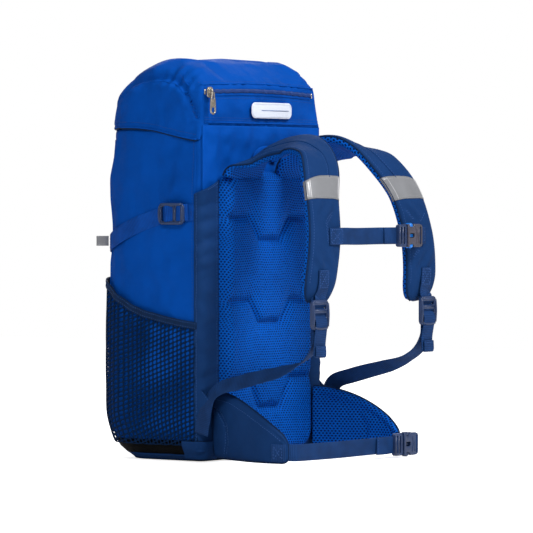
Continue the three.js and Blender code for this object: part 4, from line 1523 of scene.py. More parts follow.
def level_point(z, s, lift):
    """A place on the strap's cover at height z, s across it, level although the strap slants."""
    t = strap_at(z) + 0.0105 * s * strap_slant(z)
    return strap_point(t, s, strap_cover(t, min(max(s, -0.999), 0.999)) + lift)


def strap_slant(z):
    """How far one edge of the strap runs ahead of the other at height z, in hundredths of its length."""
    t = strap_at(z)
    low, high = strap_point(t, -1, 0)[2], strap_point(t, 1, 0)[2]
    ahead = strap_point(t + 0.01, 0, 0)[2] - strap_point(t, 0, 0)[2]
    return (low - high) / 2 / ahead + 0.35


def make_reflector(side):
    """The reflective band wrapped over the strap, with a painted highlight along its folded edges and two
    rows of stitches.
    """
    name = SIDE_NAME[side]
    band = band_on_strap("band", 311, 336, 1.02, TAPE, 0.25, 0.5)
    tree = surface_of(band)
    parts = [band]
    for z in (313.2, 333.8):
        row = [level_point(z, s, 0.8) for s in np.linspace(-0.97, 0.97, 80)]
        parts.append(sewn(tree, row, thread=THREAD_GREY, radius=0.26))
    # the folded edges are pale tubes: painted highlight where the tape wraps round the strap's edge
    for s in (-0.86, 0.86):
        fold = [level_point(z, s, 0.75) for z in np.linspace(335, 312, 24)]
        points, _ = on_surface(tree, fold)
        parts.append(tube("fold", points, 0.7, TAPE_HIGHLIGHT, across=(1, 0, 0), squash=0.6))
    band = on_side(merged(name + "_reflector", parts), side)
    place(band, "harness", name + "_strap_reflector", "reflective")


def make_end_tab(side):
    """Webbing box-stitched to the strap's tip, looped round the ladder lock's top bar."""
    name = SIDE_NAME[side]
    x = -107
    sewn = [
        (x, -249.6, 230), (x, -249.4, 222), (x, -248.6, 212), (x - 1, -246.5, 203), (x - 3, -246.2, 197.6)
    ]
    loop = [(x - 5, -246.6, 193.8), (x - 5, -244.6, 191.2), (x - 5, -242.4, 193.8), (x - 4.4, -241.8, 197)]
    tab = ribbon("tab", spline(sewn + loop, 60), (1, 0, 0), NAVY_WEB)
    tree = surface_of(tab)
    parts = [tab]
    box = [(-8, 229), (8, 229), (8, 210), (-8, 210), (-8, 229)]
    for line in (box, [(-8, 229), (8, 210)], [(8, 229), (-8, 210)]):
        path = np.vstack(
            [np.linspace((x + a[0], -260, a[1]), (x + b[0], -260, b[1]), 14) for a, b in zip(line, line[1:])]
        )
        points, normals = cast(tree, path, (0, 1, 0))
        parts.append(stitches("row", points, normals, THREAD_NAVY, radius=0.36))
    piece = on_side(merged(name + "_end_tab", parts), side)
    place(piece, "harness", name + "_strap_end_tab", "navy_webbing")


# ---- buckles ----
def moved(piece, x_axis, y_axis, offset):
    """Turns a part built about the origin so its X and Y lie on new axes, then moves it."""
    x_axis, y_axis = np.array(x_axis, float), np.array(y_axis, float)
    basis = np.column_stack([x_axis, y_axis, np.cross(x_axis, y_axis)])
    move_points(piece, coordinates(piece) @ basis.T + np.array(offset))
    return piece


def rod(name, path, radius, material, squash=1.0, across=(0, 1, 0), sides=10):
    return tube(name, path, radius, material, sides=sides, squash=squash, across=across)


def ladder_lock(material, width, height, depth):
    """A three-bar adjuster in the XZ plane about the origin, facing -Y."""
    w, h = width / 2, height / 2
    inner = w - 4.4
    shape = rounded(-w, -h, w, h, 6.5, 6)
    pitch = (height - 6) / 3
    holes = []
    for i in range(3):
        low = -h + 4.6 + i * pitch
        holes.append(rounded(-inner, low, inner, low + pitch - 4.4, 1.2, 3))
    frame_part = plate("lock_frame", shape, holes, depth * 0.72, material, 0.9)
    parts = [frame_part]
    for x in (-w + 1.9, w - 1.9):
        bow = [(x, -depth * 0.3, -h + 4), (x, -depth * 0.44, 0), (x, -depth * 0.3, h - 4)]
        parts.append(rod("rail", spline(bow, 12), 1.5, material, across=(1, 0, 0)))
    for i in range(4):
        z = -h + 3.0 + i * pitch
        z = min(z, h - 2.4)
        parts.append(
            rod(
                "bar",
                [(-inner - 0.6, -depth * 0.2, z), (inner + 0.6, -depth * 0.2, z)],
                1.45,
                material,
                across=(0, 0, 1),
            )
        )
    lip = [(-inner, -depth * 0.42, -h + 2.4), (0, -depth * 0.5, -h + 1.6), (inner, -depth * 0.42, -h + 2.4)]
    parts.append(rod("lip", spline(lip, 12), 1.3, material, across=(0, 0, 1)))
    return parts


def buckle_female(material):
    """The socket half of a side-release buckle: mouth at x = 0, webbing bar at x = 27, facing -Y."""
    edge = [
        (0, -12.5), (1.2, -13.8), (2.4, -13.8), (3.2, -11.2), (7.5, -9.6), (11.8, -11.2), (12.6, -13.8),
        (24, -13.8), (28.4, -12.6), (29.8, -10.4),
    ]
    shape = edge + [(x, -z) for x, z in edge[::-1]]
    web_slot = rounded(24.4, -10.6, 27.4, 10.6, 1.0, 3)
    face_window = rounded(3.4, -2.6, 13.5, 2.6, 1.4, 3)
    front = shift(plate("front", shape, [web_slot, face_window], 2.8, material, 0.8), (0, -3.5, 0))
    back = shift(plate("back", shape, [web_slot], 2.6, material, 0.8), (0, 3.6, 0))
    block = plate("block", rounded(17.2, -13.4, 24.0, 13.4, 1.6, 3), [], 6.4, material, 0.4)
    end = plate("end", rounded(27.6, -10.2, 29.6, 10.2, 0.8, 3), [], 7.4, material, 0.4)
    parts = [front, back, block, end]
    for z in (-12.6, 12.6):
        parts.append(plate("wall", rounded(0.3, z - 1.0, 2.3, z + 1.0, 0.4, 2), [], 6.0, material, 0.2))
    rim = [(16.6, -4.9, -9.5), (18.6, -5.05, 0), (16.6, -4.9, 9.5)]
    parts.append(rod("rim", spline(rim, 14), 0.7, material))
    parts.append(rod("rib", [(21.8, -4.8, -9), (21.8, -4.8, 9)], 0.6, material))
    return parts


def buckle_male(base_material, arm_material):
    """The prong half: a base with two webbing bars, a middle guide and two springy arms with ribbed grips."""
    shape = rounded(-16.6, -13.4, -0.7, 13.4, 3.4, 4)
    slots = [rounded(-13.8, -10.4, -10.9, 10.4, 1.0, 3), rounded(-7.4, -10.4, -4.5, 10.4, 1.0, 3)]
    base = plate("base", shape, slots, 6.4, base_material, 1.0)
    parts = [base]
    for x in (-9.1, -15.2):
        parts.append(rod("bar", [(x, -2.6, -10.6), (x, -2.6, 10.6)], 1.2, base_material))
    parts.append(
        plate(
            "guide",
            [(-2, -1.9), (14, -1.9), (16.4, -0.9), (16.4, 0.9), (14, 1.9), (-2, 1.9)],
            [],
            3.6,
            arm_material,
            0.5,
        )
    )
    for s in (-1, 1):
        arm = [
            (-2, 7.4), (2.6, 7.8), (3.6, 11.0), (4.2, 13.6), (7.4, 14.9), (10.6, 13.6), (11.6, 10.6),
            (12.2, 7.6), (9, 5.4), (5, 4.4), (-2, 4.2),
        ]
        parts.append(plate("arm", [(x, s * z) for x, z in arm][::s], [], 4.0, arm_material, 0.5))
        grip = [(3.8, 10.4), (4.4, 13.7), (7.4, 15.0), (10.4, 13.7), (11.2, 10.4)]
        parts.append(plate("grip", [(x, s * z) for x, z in grip][::s], [], 7.6, arm_material, 1.0))
    return parts


def buckle_at(parts, x_axis, y_axis, offset):
    return [moved(p, x_axis, y_axis, offset) for p in parts]


def make_chest_strap():
    z, y = 269, -250.8
    parts = []
    path = [
        (-96, -249.9, z), (-84, -250.4, z), (-66, -250.6, z + 0.2), (-40, -250.6, z - 0.2), (0, y, z),
        (30, y, z), (47, y, z),
    ]
    band = ribbon("band", spline(path, 90), (0, 0, 1), NAVY_WEB)
    tree = surface_of(band)
    parts.append(band)
    for line in (
        [(-94, 261), (-94, 277)], [(-94, 277), (-72, 277)], [(-72, 277), (-72, 261)],
        [(-72, 261), (-94, 261)], [(-94, 261), (-72, 277)], [(-94, 277), (-72, 261)],
    ):
        run = np.linspace((line[0][0], -260, line[0][1]), (line[1][0], -260, line[1][1]), 12)
        parts.append(sewn(tree, run, (0, 1, 0), radius=0.36))
    place(merged("chest_webbing", parts), "harness", "sternum_webbing", "navy_webbing")

    male = buckle_at(buckle_male(NAVY_PLASTIC, BLUE_PLASTIC), (1, 0, 0), (0, 1, 0), (50, -257.3, z))
    loop = ribbon(
        "loop",
        spline(
            [
                (12, y - 2.0, z), (20, y - 2.8, z), (34, y - 4.0, z), (40.5, y - 6.4, z),
                (43.5, y - 5.0, z), (43.0, y - 3.2, z), (38, y - 2.2, z),
            ],
            50,
        ),
        (0, 0, 1),
        NAVY_WEB,
    )
    place(merged("chest_buckle_prong", male + [loop]), "sternum_male", "sternum_buckle_male", "sternum_blue")

    female = buckle_at(buckle_female(GREY_PLASTIC), (1, 0, 0), (0, 1, 0), (50, -257.3, z))
    place(merged("chest_buckle_socket", female), "harness", "sternum_buckle_female", "sternum_grey")
    turn_back = [
        (98, -250.3, z), (88, -251.0, z), (80, -253.4, z), (77, -256.5, z), (76.4, -258.6, z),
        (78.4, -260.2, z), (81.6, -258.6, z), (84, -254.8, z), (92, -252.7, z), (100, -252.0, z),
    ]
    anchor = ribbon("anchor", spline(turn_back, 80), (0, 0, 1), NAVY_WEB)
    tree = surface_of(anchor)
    rows = []
    for x in (88, 98):
        run = np.linspace((x, -262, z - 8), (x, -262, z + 8), 12)
        rows.append(sewn(tree, run, (0, 1, 0), radius=0.36))
    place(merged("chest_anchor", [anchor] + rows), "harness", "sternum_anchor", "navy_webbing")


def make_lock(side):
    """The ladder lock at a strap's foot and the free end of webbing hanging from it."""
    name = SIDE_NAME[side]
    low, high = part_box("left_ladder_lock")
    centre = ((low + high) / 2) / MM
    size = (high - low) / MM
    parts = buckle_at(ladder_lock(NAVY_PLASTIC, size.x, size.z, size.y), (1, 0, 0), (0, 1, 0), tuple(centre))
    piece = merged(name + "_lock", parts)
    x, y = centre.x, centre.y
    run = [
        (x, y + 2.0, 193), (x, y + 2.3, 184), (x, y + 1.5, 178), (x, y - 1.9, 173.4), (x, y - 3.2, 168),
        (x + 0.6, y - 1.6, 158), (x + 1.0, y + 0.2, 146), (x + 0.4, y + 0.4, 136), (x, y + 0.2, 130.5),
    ]
    tail = ribbon("tail", spline(run, 50), (1, 0, 0), NAVY_WEB, width=23)
    pass_z = np.linspace(high.z / MM - 4, low.z / MM + 5, 24)
    woven_in = [(x, y + 0.4 - 1.3 * math.cos((z - low.z / MM) * 0.62), z) for z in pass_z]
    threaded = ribbon("threaded", woven_in, (1, 0, 0), NAVY_WEB, width=size.x - 10.4, thickness=1.2)
    fold = ribbon(
        "fold",
        spline([(x, y + 0.4, 130), (x, y - 1.6, 129), (x, y - 2.4, 133), (x, y - 1.9, 142)], 24),
        (1, 0, 0),
        NAVY_WEB,
    )
    tree = surface_of(fold)
    row = np.linspace((x - 8, y - 20, 139.5), (x + 8, y - 20, 139.5), 12)
    tail = merged(name + "_webbing_end", [tail, threaded, fold, sewn(tree, row, (0, 1, 0), radius=0.36)])
    piece, tail = on_side(piece, side), on_side(tail, side)
    place(piece, name + "_lock", name + "_ladder_lock", "navy_plastic")
    place(tail, name + "_lock", name + "_webbing_tail", "navy_webbing")


# ======== the hip belt ========
WING_RUN = [(-99, -89, 0), (-107, -115, 0), (-118, -150, 0), (-121, -180, 0), (-116, -205, 0)]
WING_SEAM = [(0.0, 66), (0.12, 56), (0.2, 43), (0.215, 24), (0.17, 8)]
WING_CONTOUR = [(0.05, 76), (0.3, 66), (0.5, 52), (0.58, 36), (0.57, 8)]
wing_line = spline(WING_RUN, 90)
wing_run = distance_along(wing_line)
_, _, wing_side = frames(wing_line, (0, 0, 1))


def wing_top(u):
    return 29 + 54 * max(math.cos(u * math.pi / 2), 0.0) ** 0.8


def wing_point(u, v, height):
    """A place on the left wing: u along it, v from its bottom edge to its top one, height outwards."""
    at = u * wing_run[-1]
    centre, side = read_at(at, wing_run, wing_line), read_at(at, wing_run, wing_side)
    side *= -1 if side[0] > 0 else 1
    tip = math.sqrt(max(0.0, 1 - max(0.0, (u - 0.93) / 0.07) ** 2))
    low, top = lerp(5, 4, u), wing_top(u)
    middle = (low + top) / 2
    z = middle + (lerp(low, top, v) - middle) * (0.55 + 0.45 * tip)
    return centre + side * height + np.array((0, 0, z))


def line_distance(line, u, z):
    """Distance in millimetres from a place on the wing to a drawn line of (u, z) points."""
    points = np.array(line_points(line, 60))
    return float(np.min(np.hypot((points[:, 0] - u) * wing_run[-1], points[:, 1] - z)))


def wing_bulge(u, v):
    tip = math.sqrt(max(0.0, 1 - max(0.0, (u - 0.95) / 0.05) ** 2))
    return lerp(6.0, 3.5, u) * max(0.0, 1 - abs(2 * v - 1) ** 5) ** 0.5 * (0.3 + 0.7 * tip)


def wing_outer(u, v):
    x, y, z = wing_point(u, v, 0)
    groove = 2.0 * bump(line_distance(WING_SEAM, u, z), 0, 2.6)
    hem = 0.8 * bump((wing_top(u) - z), 5.5, 2.0)
    soft = 0.7 * fabric_noise(x, y, z, 20, 2.0) + 0.3 * fabric_noise(x, y, z, 8, 7.0)
    return 0.9 + wing_bulge(u, v) - (groove + hem - soft) * (1 - (2 * v - 1) ** 6)


def wing_inner(u, v):
    x, y, z = wing_point(u, v, 0)
    groove = 2.2 * bump(line_distance(WING_CONTOUR, u, z), 0, 3.0)
    roll = 2.4 * bump((wing_top(u) - z), 11, 3.2) - 0.8 * bump((wing_top(u) - z), 5, 4)
    soft = 0.5 * fabric_noise(x, y, z, 18, 12.0)
    return -0.9 - wing_bulge(u, v) + (groove + roll - soft) * (1 - (2 * v - 1) ** 6)


def make_wing(side):
    """A padded wing of the hip belt: navy cloth outside, air mesh inside with a rolled top edge."""
    name = SIDE_NAME[side]
    us, vs = np.linspace(0, 1, 70), np.linspace(0, 1, 40)
    parts = []
    for kind, height, material in (("outer", wing_outer, NAVY_CLOTH), ("inner", wing_inner, MESH)):
        rings, uvs = [], []
        for u in us:
            face = [wing_point(u, v, height(u, v)) for v in vs]
            ring = face + [wing_point(u, v, 0.25 if kind == "outer" else -0.25) for v in vs[::-4]]
            rings.append(ring)
            run = distance_along(face)
            uvs.append(
                [(u * wing_run[-1], r) for r in run] + [(u * wing_run[-1], run[-1] * v) for v in vs[::-4]]
            )
        parts.append(loft(kind, rings, material, uvs))
    outer = surface_of(parts[0])
    edge = [wing_point(u, 1.0, 0) for u in np.linspace(0, 1, 60)] + [
        wing_point(1.0, v, 0) for v in (0.85, 0.6, 0.4, 0.15)
    ]
    edge += [wing_point(u, 0.0, 0) for u in np.linspace(1, 0, 60)]
    parts.append(tube("edge", edge, 1.3, NAVY_BINDING, across=(1, 0, 0)))
    rows = [[(u, wing_top(u) - 7.5) for u in np.linspace(0.02, 0.95, 90)], [(u, z) for u, z in WING_SEAM],
            [(u + 0.018, z) for u, z in WING_SEAM]]
    for row in rows:
        drawn = [wing_point(u, (z - 5) / (wing_top(u) - 5), 9) for u, z in line_points(row, 90)]
        parts.append(sewn(outer, drawn, radius=0.32))
    patch_u = np.linspace(0.84, 0.985, 16)
    patch = [wing_point(u, 0, wing_outer(u, 0.45) + 0.7) * (1, 1, 0) + np.array((0, 0, 16)) for u in patch_u]
    parts.append(ribbon("patch", patch, (0, 0, 1), NAVY_WEB))
    patch_tree = surface_of(parts[-1])
    for a, b in (
        ((0.86, 8), (0.86, 24)), ((0.95, 8), (0.95, 24)), ((0.86, 8), (0.95, 24)), ((0.86, 24), (0.95, 8))
    ):
        shares, heights = np.linspace(a[0], b[0], 12), np.linspace(a[1], b[1], 12)
        drawn = [wing_point(u, 0, 12) * (1, 1, 0) + np.array((0, 0, z)) for u, z in zip(shares, heights)]
        parts.append(sewn(patch_tree, drawn, radius=0.34))
    if side == RIGHT:
        turn_back = [
            (-117, -196, 16), (-119, -204, 16), (-121.5, -211, 16), (-126, -214.5, 16), (-128, -219, 16),
            (-126.4, -222.4, 16), (-123.4, -220, 16), (-120.5, -214.5, 16), (-117.5, -209.5, 16),
            (-114.5, -203, 16),
        ]
        parts.append(ribbon("anchor", spline(turn_back, 60), (0, 0, 1), NAVY_WEB))
    piece = on_side(merged(name + "_wing", parts), side)
    place(piece, name + "_wing", name + "_hip_wing", "navy_fabric")


def make_belt():
    """The belt's webbing and its buckle, with the doubled free end sewn back on itself."""
    y, z = -212.2, 16
    run = [
        (-117, -201.5, z + 0.5), (-114.5, -207.5, z + 0.2), (-106, -211.8, z), (-80, y - 0.3, z - 0.3),
        (-30, y - 0.4, z - 0.6), (20, y, z - 0.4), (70, y, z), (98, y, z),
    ]
    band = ribbon("belt_webbing", spline(run, 130), (0, 0, 1), NAVY_WEB)
    place(band, "hip_strap", "hip_webbing", "navy_webbing")
    male = buckle_at(buckle_male(NAVY_PLASTIC, NAVY_PLASTIC), (1, 0, 0), (0, 1, 0), (99, -218.6, z))
    loop = [
        (52, y - 2.6, z - 0.6), (58, y - 2.9, z - 0.9), (74, y - 3.2, z - 0.8), (84, y - 5.0, z),
        (89.5, y - 8.6, z), (92.4, y - 7.4, z), (92.0, y - 5.4, z), (86, y - 4.0, z),
    ]
    loop = ribbon("loop", spline(loop, 60), (0, 0, 1), NAVY_WEB)
    tree = surface_of(loop)
    row = sewn(tree, np.linspace((54.5, -240, z - 9), (54.5, -240, z + 8), 12), (0, 1, 0), radius=0.36)
    place(merged("belt_buckle_prong", male + [loop, row]), "hip_male", "hip_buckle_male", "navy_plastic")
    female = buckle_at(buckle_female(NAVY_PLASTIC), (1, 0, 0), (0, 1, 0), (99, -218.6, z))
    place(merged("belt_buckle_socket", female), "hip_female", "hip_buckle_female", "navy_plastic")


def make_adjuster(side):
    """Webbing from the strap's lock down over the wing's root to the side seam, with its navy gusset."""
    name = SIDE_NAME[side]
    run = [
        (-113, -243.6, 186), (-113, -243.2, 174), (-113, -244.4, 160), (-113, -243, 146), (-113, -233, 130),
        (-112, -214, 118), (-112, -190, 110), (-114, -160, 103), (-116, -132, 96), (-119, -110, 90),
        (-123, -98, 80), (-125.4, -91, 62), (-125.2, -86, 42), (-124.6, -84, 34),
    ]
    path = spline(run, 150)
    turn_at = [
        (0.0, (1, 0, 0)), (0.3, (0.96, 0.1, 0.25)), (0.42, (0.7, 0.2, 0.68)), (0.6, (0.5, 0.1, 0.86)),
        (0.78, (0.55, 0.1, 0.83)), (0.86, (0.3, 0.75, 0.6)), (0.92, (0.05, 0.97, 0.2)), (1.0, (0, 1, 0)),
    ]
    share = np.linspace(0, 1, len(path))
    across = np.column_stack(
        [np.interp(share, [s for s, _ in turn_at], [a[k] for _, a in turn_at]) for k in range(3)]
    )
    band = on_side(ribbon(name + "_adjusting_webbing", path, across, NAVY_WEB), side)
    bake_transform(band)
    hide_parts(name + "_adjust_webbing")
    corner = [(-79, 90), (-79, 34), (-84, 34), (-98, 68), (-97, 74)]
    gusset = moved(
        plate("gusset", [(b, a) for a, b in corner[::-1]], [], 1.7, NAVY_CLOTH, 0.4),
        (0, 0, 1),
        (1, 0, 0),
        (-123.4, 0, 0),
    )
    tree = surface_of(gusset)
    rows = []
    for a, b in (((-82, 88), (-94.5, 73)), ((-94.8, 68), (-82, 38))):
        drawn = np.linspace((-140, a[0], a[1]), (-140, b[0], b[1]), 16)
        rows.append(sewn(tree, drawn, (1, 0, 0), radius=0.32))
    piece = on_side(merged(name + "_gusset", [gusset] + rows), side)
    place(piece, "root", name + "_webbing_gusset", "navy_fabric")


# ======== straps and loops on the bag ========
def make_compression(side):
    """A bright strap round the bag's side, held by a ladder lock."""
    name = SIDE_NAME[side]
    path = []
    for index in side_run(110):
        level = COMPRESSION_LINE(outline_at(280, 0.9, index)[0][1])
        p, _ = outline_at(level, 0.9, index)
        path.append((p[0], p[1], level))
    path = np.array(path)
    path = path[path[:, 1] < 79]
    strap = ribbon("strap", path, (0, 0, 1), BRIGHT_WEB)
    tree = surface_of(strap)
    parts = [strap]
    for y in (-74, -68, 70):
        level = COMPRESSION_LINE(y)
        column = np.linspace((160, y, level - 8), (160, y, level + 8), 12)
        points, facing = cast(tree, column, (-1, 0, 0))
        if len(points) > 3:
            parts.append(stitches("row", points, facing, THREAD_BLUE, radius=0.36))
    low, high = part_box("right_compression_lock")
    centre, size = (low + high) / 2 / MM, (high - low) / MM
    lift = [
        (centre.x - 3.8, -20, 293.4), (centre.x - 2.6, -27, 294.2), (centre.x - 0.2, -31, 294.8),
        (centre.x + 2.2, -35, 295.2), (centre.x + 0.4, -41, 295.6), (centre.x - 1.6, -46, 295.8),
        (centre.x + 1.2, -52, 296.2), (centre.x + 0.6, -57, 296.4), (centre.x - 3.4, -64, 296.8),
    ]
    weave = ribbon("weave", spline(lift, 60), (0, 0, 1), BRIGHT_WEB)
    piece = on_side(merged(name + "_compression_webbing", parts), -side)
    place(piece, "root", name + "_compression_strap", "shell_blue")
    lock = buckle_at(ladder_lock(NAVY_PLASTIC, size.z, size.y, size.x), (0, 0, 1), (-1, 0, 0), tuple(centre))
    lock = on_side(merged(name + "_side_lock", lock + [weave]), -side)
    place(lock, name + "_compression", name + "_compression_lock", "navy_plastic")
    loop_path = [
        (99.5, 75.5, 262), (104, 79.5, 262), (108.6, 84.6, 262), (110.2, 85.2, 262), (110, 83.6, 262),
        (105, 78.2, 262), (100.5, 74.5, 262),
    ]
    tab = on_side(
        ribbon(name + "_reflective_tab", spline(loop_path, 30), (0, 0, 1), TAPE, width=12, thickness=0.9),
        -side,
    )
    place(tab, "root", name + "_reflective_loop", "reflective")


def make_front():
    """The hood's closing strap and buckle, its lower strap and the bag's front loop."""
    run = [
        (0, 52, 446.5), (0, 62, 438), (0, 70, 427), (0, 77, 410), (0, 83, 394), (0, 89.5, 384), (0, 94, 378),
        (0, 96.6, 372.5), (0, 97.4, 369.6), (0, 95.6, 368.2), (0, 93.0, 371), (0, 88.5, 381), (0, 84.5, 388),
    ]
    strap = ribbon("hood_strap", spline(run, 90), (1, 0, 0), NAVY_WEB)
    place(strap, "lid", "lid_strap", "navy_webbing")
    male = buckle_at(buckle_male(NAVY_PLASTIC, BLUE_PLASTIC), (0, 0, -1), (0, -1, 0), (0, 96, 366))
    place(merged("hood_buckle_prong", male), "lid", "lid_buckle_male", "navy_plastic")
    female = buckle_at(buckle_female(GREY_PLASTIC), (0, 0, -1), (0, -1, 0), (0, 96, 366))
    place(merged("hood_buckle_socket", female), "lid_release", "lid_buckle_female", "navy_plastic")
    run = [
        (0, 93.6, 330), (0, 95.0, 337), (0, 97.4, 340.4), (0, 99.6, 338.6), (0, 97.5, 334), (0, 93.0, 326),
        (0, 90.6, 316), (0, 89.9, 300), (0, 89.4, 276),
    ]
    lower = ribbon("lower", spline(run, 80), (1, 0, 0), NAVY_WEB)
    tree = surface_of(lower)
    row = sewn(tree, np.linspace((-8, 140, 280), (8, 140, 280), 12), (0, -1, 0), radius=0.36)
    place(merged("hood_strap_lower", [lower, row]), "lid_release", "front_strap", "navy_webbing")
    run = [(0, 84.9, 292), (0, 86.2, 286), (0, 87.0, 271), (0, 86.2, 256), (0, 84.9, 250)]
    loop = ribbon("loop", spline(run, 40), (1, 0, 0), NAVY_WEB, width=32, thickness=1.3)
    tree = surface_of(loop)
    rows = [loop]
    for z in (289, 285, 257, 253):
        rows.append(sewn(tree, np.linspace((-14, 140, z), (14, 140, z), 20), (0, -1, 0), radius=0.36))
    place(merged("front_keeper", rows), "root", "front_loop", "navy_webbing")


def make_haul_loop():
    """A short grab loop of folded cloth between the straps' roots."""
    half = [(-20, -85.4, 358), (-19.4, -86.4, 362), (-16, -87.6, 367), (-9, -88.6, 370.4)]
    run = half + [(0, -89.0, 371.4)] + [(-x, y, z) for x, y, z in half[::-1]]
    path = spline(run, 80)
    inward = np.column_stack([-path[:, 0], np.zeros(len(path)), 357 - path[:, 2]])
    band = ribbon("haul_handle", path, inward + np.array((1e-3, 0, -1e-3)), SHELL, width=11, thickness=2.2)
    place(band, "haul", "haul_loop", "shell_blue")


def make_collar():
    """The gathered collar: a sleeve drawn in to a hemmed channel, which is open where the cord lock sits."""
    rings, uvs = [], []
    for t in np.linspace(0, 1, 34):
        z = lerp(380, 427, t)
        flat = bag_outline(lerp(380, BAG_TOP, t), -5 - 25.4 * t**1.3)
        run = distance_along(flat)
        fold = 1.9 * t * smooth(1.06, 0.86, t)
        ring = []
        for (x, y), r in zip(flat, run):
            d = np.array((x, y)) / (math.hypot(x, y) + 1e-9)
            w = fold * (math.sin(r * 0.42 + 1.3 * math.sin(r * 0.09)) + 0.5 * fabric_noise(x, y, z, 16, 4.0))
            ring.append((x - d[0] * w, y - d[1] * w, z))
        rings.append(ring)
        uvs.append([(r, z) for r in run])
    sheet = grid("gathers", rings, SHELL_LINING, uvs, closed=True)
    modifier(sheet, "SOLIDIFY", thickness=1.1 * MM, offset=0, use_rim=True)
    bake(sheet)
    top = np.array(rings[-1])
    gap = [k for k, (x, y, z) in enumerate(top) if y > 20 and abs(x) < 14]
    channel = np.vstack([top[gap[-1] + 1 :], top[: gap[0]]]) + np.array((0, 0, 0.5))
    hem = tube("hem", channel, 2.8, SHELL_LINING, across=(0, 0, 1))
    place(merged("gathered_collar", [sheet, hem]), "root", "collar", "shell_blue")


def make_cord():
    """The drawcord's sprung lock and the button that frees it."""
    low, high = box_of("cord_lock")
    y, z = (low.y + high.y) / 2, (low.z + high.z) / 2
    rings = []
    for x, half_y, half_z in (
        (low.x, 4.2, 2.8), (low.x + 0.8, 5.5, 4.0), (high.x - 0.8, 5.5, 4.0), (high.x, 4.8, 3.4),
        (high.x, 3.7, 2.6), (high.x - 8.5, 3.7, 2.6),
    ):
        rings.append(
            [(x, y + a, z + b) for a, b in rounded(-half_y, -half_z, half_y, half_z, min(half_z, 2.4), 4)]
        )
    body = loft("body", rings, BLACK_PLASTIC)
    ribs = [
        rod(
            "rib",
            [(x, low.y + 1.4, high.z + 0.1), (x, high.y - 1.4, high.z + 0.1)],
            0.5,
            BLACK_PLASTIC,
            across=(1, 0, 0),
        )
        for x in (low.x + 3, low.x + 5.5, low.x + 8)
    ]
    place(merged("cord_lock_body", [body] + ribs), "root", "cord_lock", "black_plastic")
    low, high = box_of("cord_lock_button")
    y, z = (low.y + high.y) / 2, (low.z + high.z) / 2
    stem = rod("stem", [(low.x, y, z), (high.x - 2, y, z)], 1.9, BLACK_PLASTIC, across=(0, 0, 1), sides=16)
    cap = rod(
        "cap",
        [(high.x - 2.6, y, z), (high.x - 2.2, y, z), (high.x - 0.6, y, z), (high.x, y, z)],
        2.1,
        BLACK_PLASTIC,
        across=(0, 1, 0),
        squash=0.98,
        sides=16,
    )
    cap.data.materials.clear()
    cap.data.materials.append(GREY_PLASTIC)
    place(merged("cord_button", [stem, cap]), "cord_button", "cord_lock_button", "black_plastic")


def finish_cad_parts():
    """The flat parts that need no reshaping keep their frame solids and take a sewn or moulded finish."""
    for name, material in (
        ("frame_sheet", BLACK_PLASTIC), ("foam_back_pad", FOAM), ("lid_pocket_floor", SHELL_LINING),
        ("drawcord", BLACK_CORD),
    ):
        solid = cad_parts[name]
        solid.data.materials.clear()
        solid.data.materials.append(material)


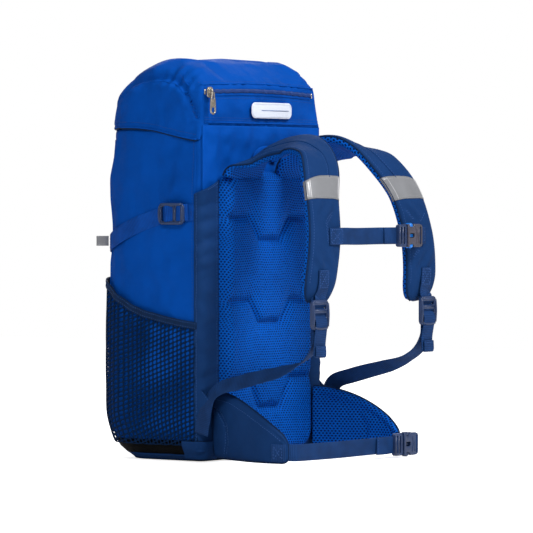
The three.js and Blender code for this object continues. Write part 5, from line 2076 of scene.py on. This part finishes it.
# ======== camera, light and floor ========
def make_stage():
    scene = bpy.context.scene
    camera = bpy.data.objects.new("camera", bpy.data.cameras.new("camera"))
    scene.collection.objects.link(camera)
    camera.data.lens = 270
    camera.data.sensor_width = 36
    camera.data.clip_end = 20
    aim = Vector((42.1, -58.3, 230.2)) * MM
    azimuth, elevation, distance = math.radians(-54), math.radians(1), 4.88
    away = Vector(
        (
            math.sin(azimuth) * math.cos(elevation),
            -math.cos(azimuth) * math.cos(elevation),
            math.sin(elevation),
        )
    )
    camera.location = aim + away * distance
    camera.rotation_euler = (-away).to_track_quat("-Z", "Y").to_euler()
    scene.camera = camera

    world = bpy.data.worlds.new("studio")
    world.use_nodes = True
    tree = world.node_tree
    background = tree.nodes["Background"]
    background.inputs["Color"].default_value = (1.0, 1.0, 1.0, 1.0)
    rays = tree.nodes.new("ShaderNodeLightPath")
    level = tree.nodes.new("ShaderNodeMapRange")
    level.inputs["To Min"].default_value = 0.4
    level.inputs["To Max"].default_value = 1.0
    tree.links.new(rays.outputs["Is Camera Ray"], level.inputs["Value"])
    tree.links.new(level.outputs["Result"], background.inputs["Strength"])
    scene.world = world
    scene.view_settings.view_transform = "Standard"
    scene.view_settings.look = "None"

    def area(name, location, size, power, target=(0, 0, 0.24)):
        light = bpy.data.lights.new(name, "AREA")
        light.shape = "RECTANGLE"
        light.size, light.size_y = size
        light.energy = power
        lamp = bpy.data.objects.new(name, light)
        scene.collection.objects.link(lamp)
        lamp.location = location
        lamp.rotation_euler = (Vector(location) - Vector(target)).to_track_quat("Z", "Y").to_euler()

    area("key", (0.1, -1.9, 2.4), (0.8, 0.8), 73)
    area("fill", (-2.0, -1.3, 1.9), (0.6, 0.6), 30)
    area("rim", (1.8, 1.5, 1.6), (1.2, 1.2), 22)

    floor = build("floor", [(-3e3, -3e3, -0.4), (3e3, -3e3, -0.4), (3e3, 3e3, -0.4), (-3e3, 3e3, -0.4)],
                  [(0, 1, 2, 3)], None)
    paint = Nodes("pale_floor")
    glow = paint.math("MULTIPLY", paint.add("ShaderNodeLightPath").outputs["Is Camera Ray"], 0.75)
    paint.set(paint.shader, "Emission Color", (1.0, 1.0, 1.0, 1.0))
    paint = paint.finish((0.85, 0.85, 0.85), 0.8, Emission_Strength=glow, Specular_IOR_Level=0.1)
    floor.data.materials.clear()
    floor.data.materials.append(paint)


# ======== assembly ========
bag = place(make_bag(), "root", "main_bag", "shell_blue")
bag_tree = surface_of(bag)
make_bag_details(bag_tree)
make_yoke()
for side in (LEFT, RIGHT):
    make_side_strip(side)
    make_pocket(side)
make_back_panel()
make_base()
hood_tree = make_hood()
make_zip(hood_tree)
make_slider()
make_label()
for side in (LEFT, RIGHT):
    make_shoulder_strap(side)
    make_lock(side)
    make_adjuster(side)
    make_wing(side)
    make_compression(side)
make_chest_strap()
make_belt()
make_front()
make_haul_loop()
make_collar()
make_cord()
finish_cad_parts()
make_stage()
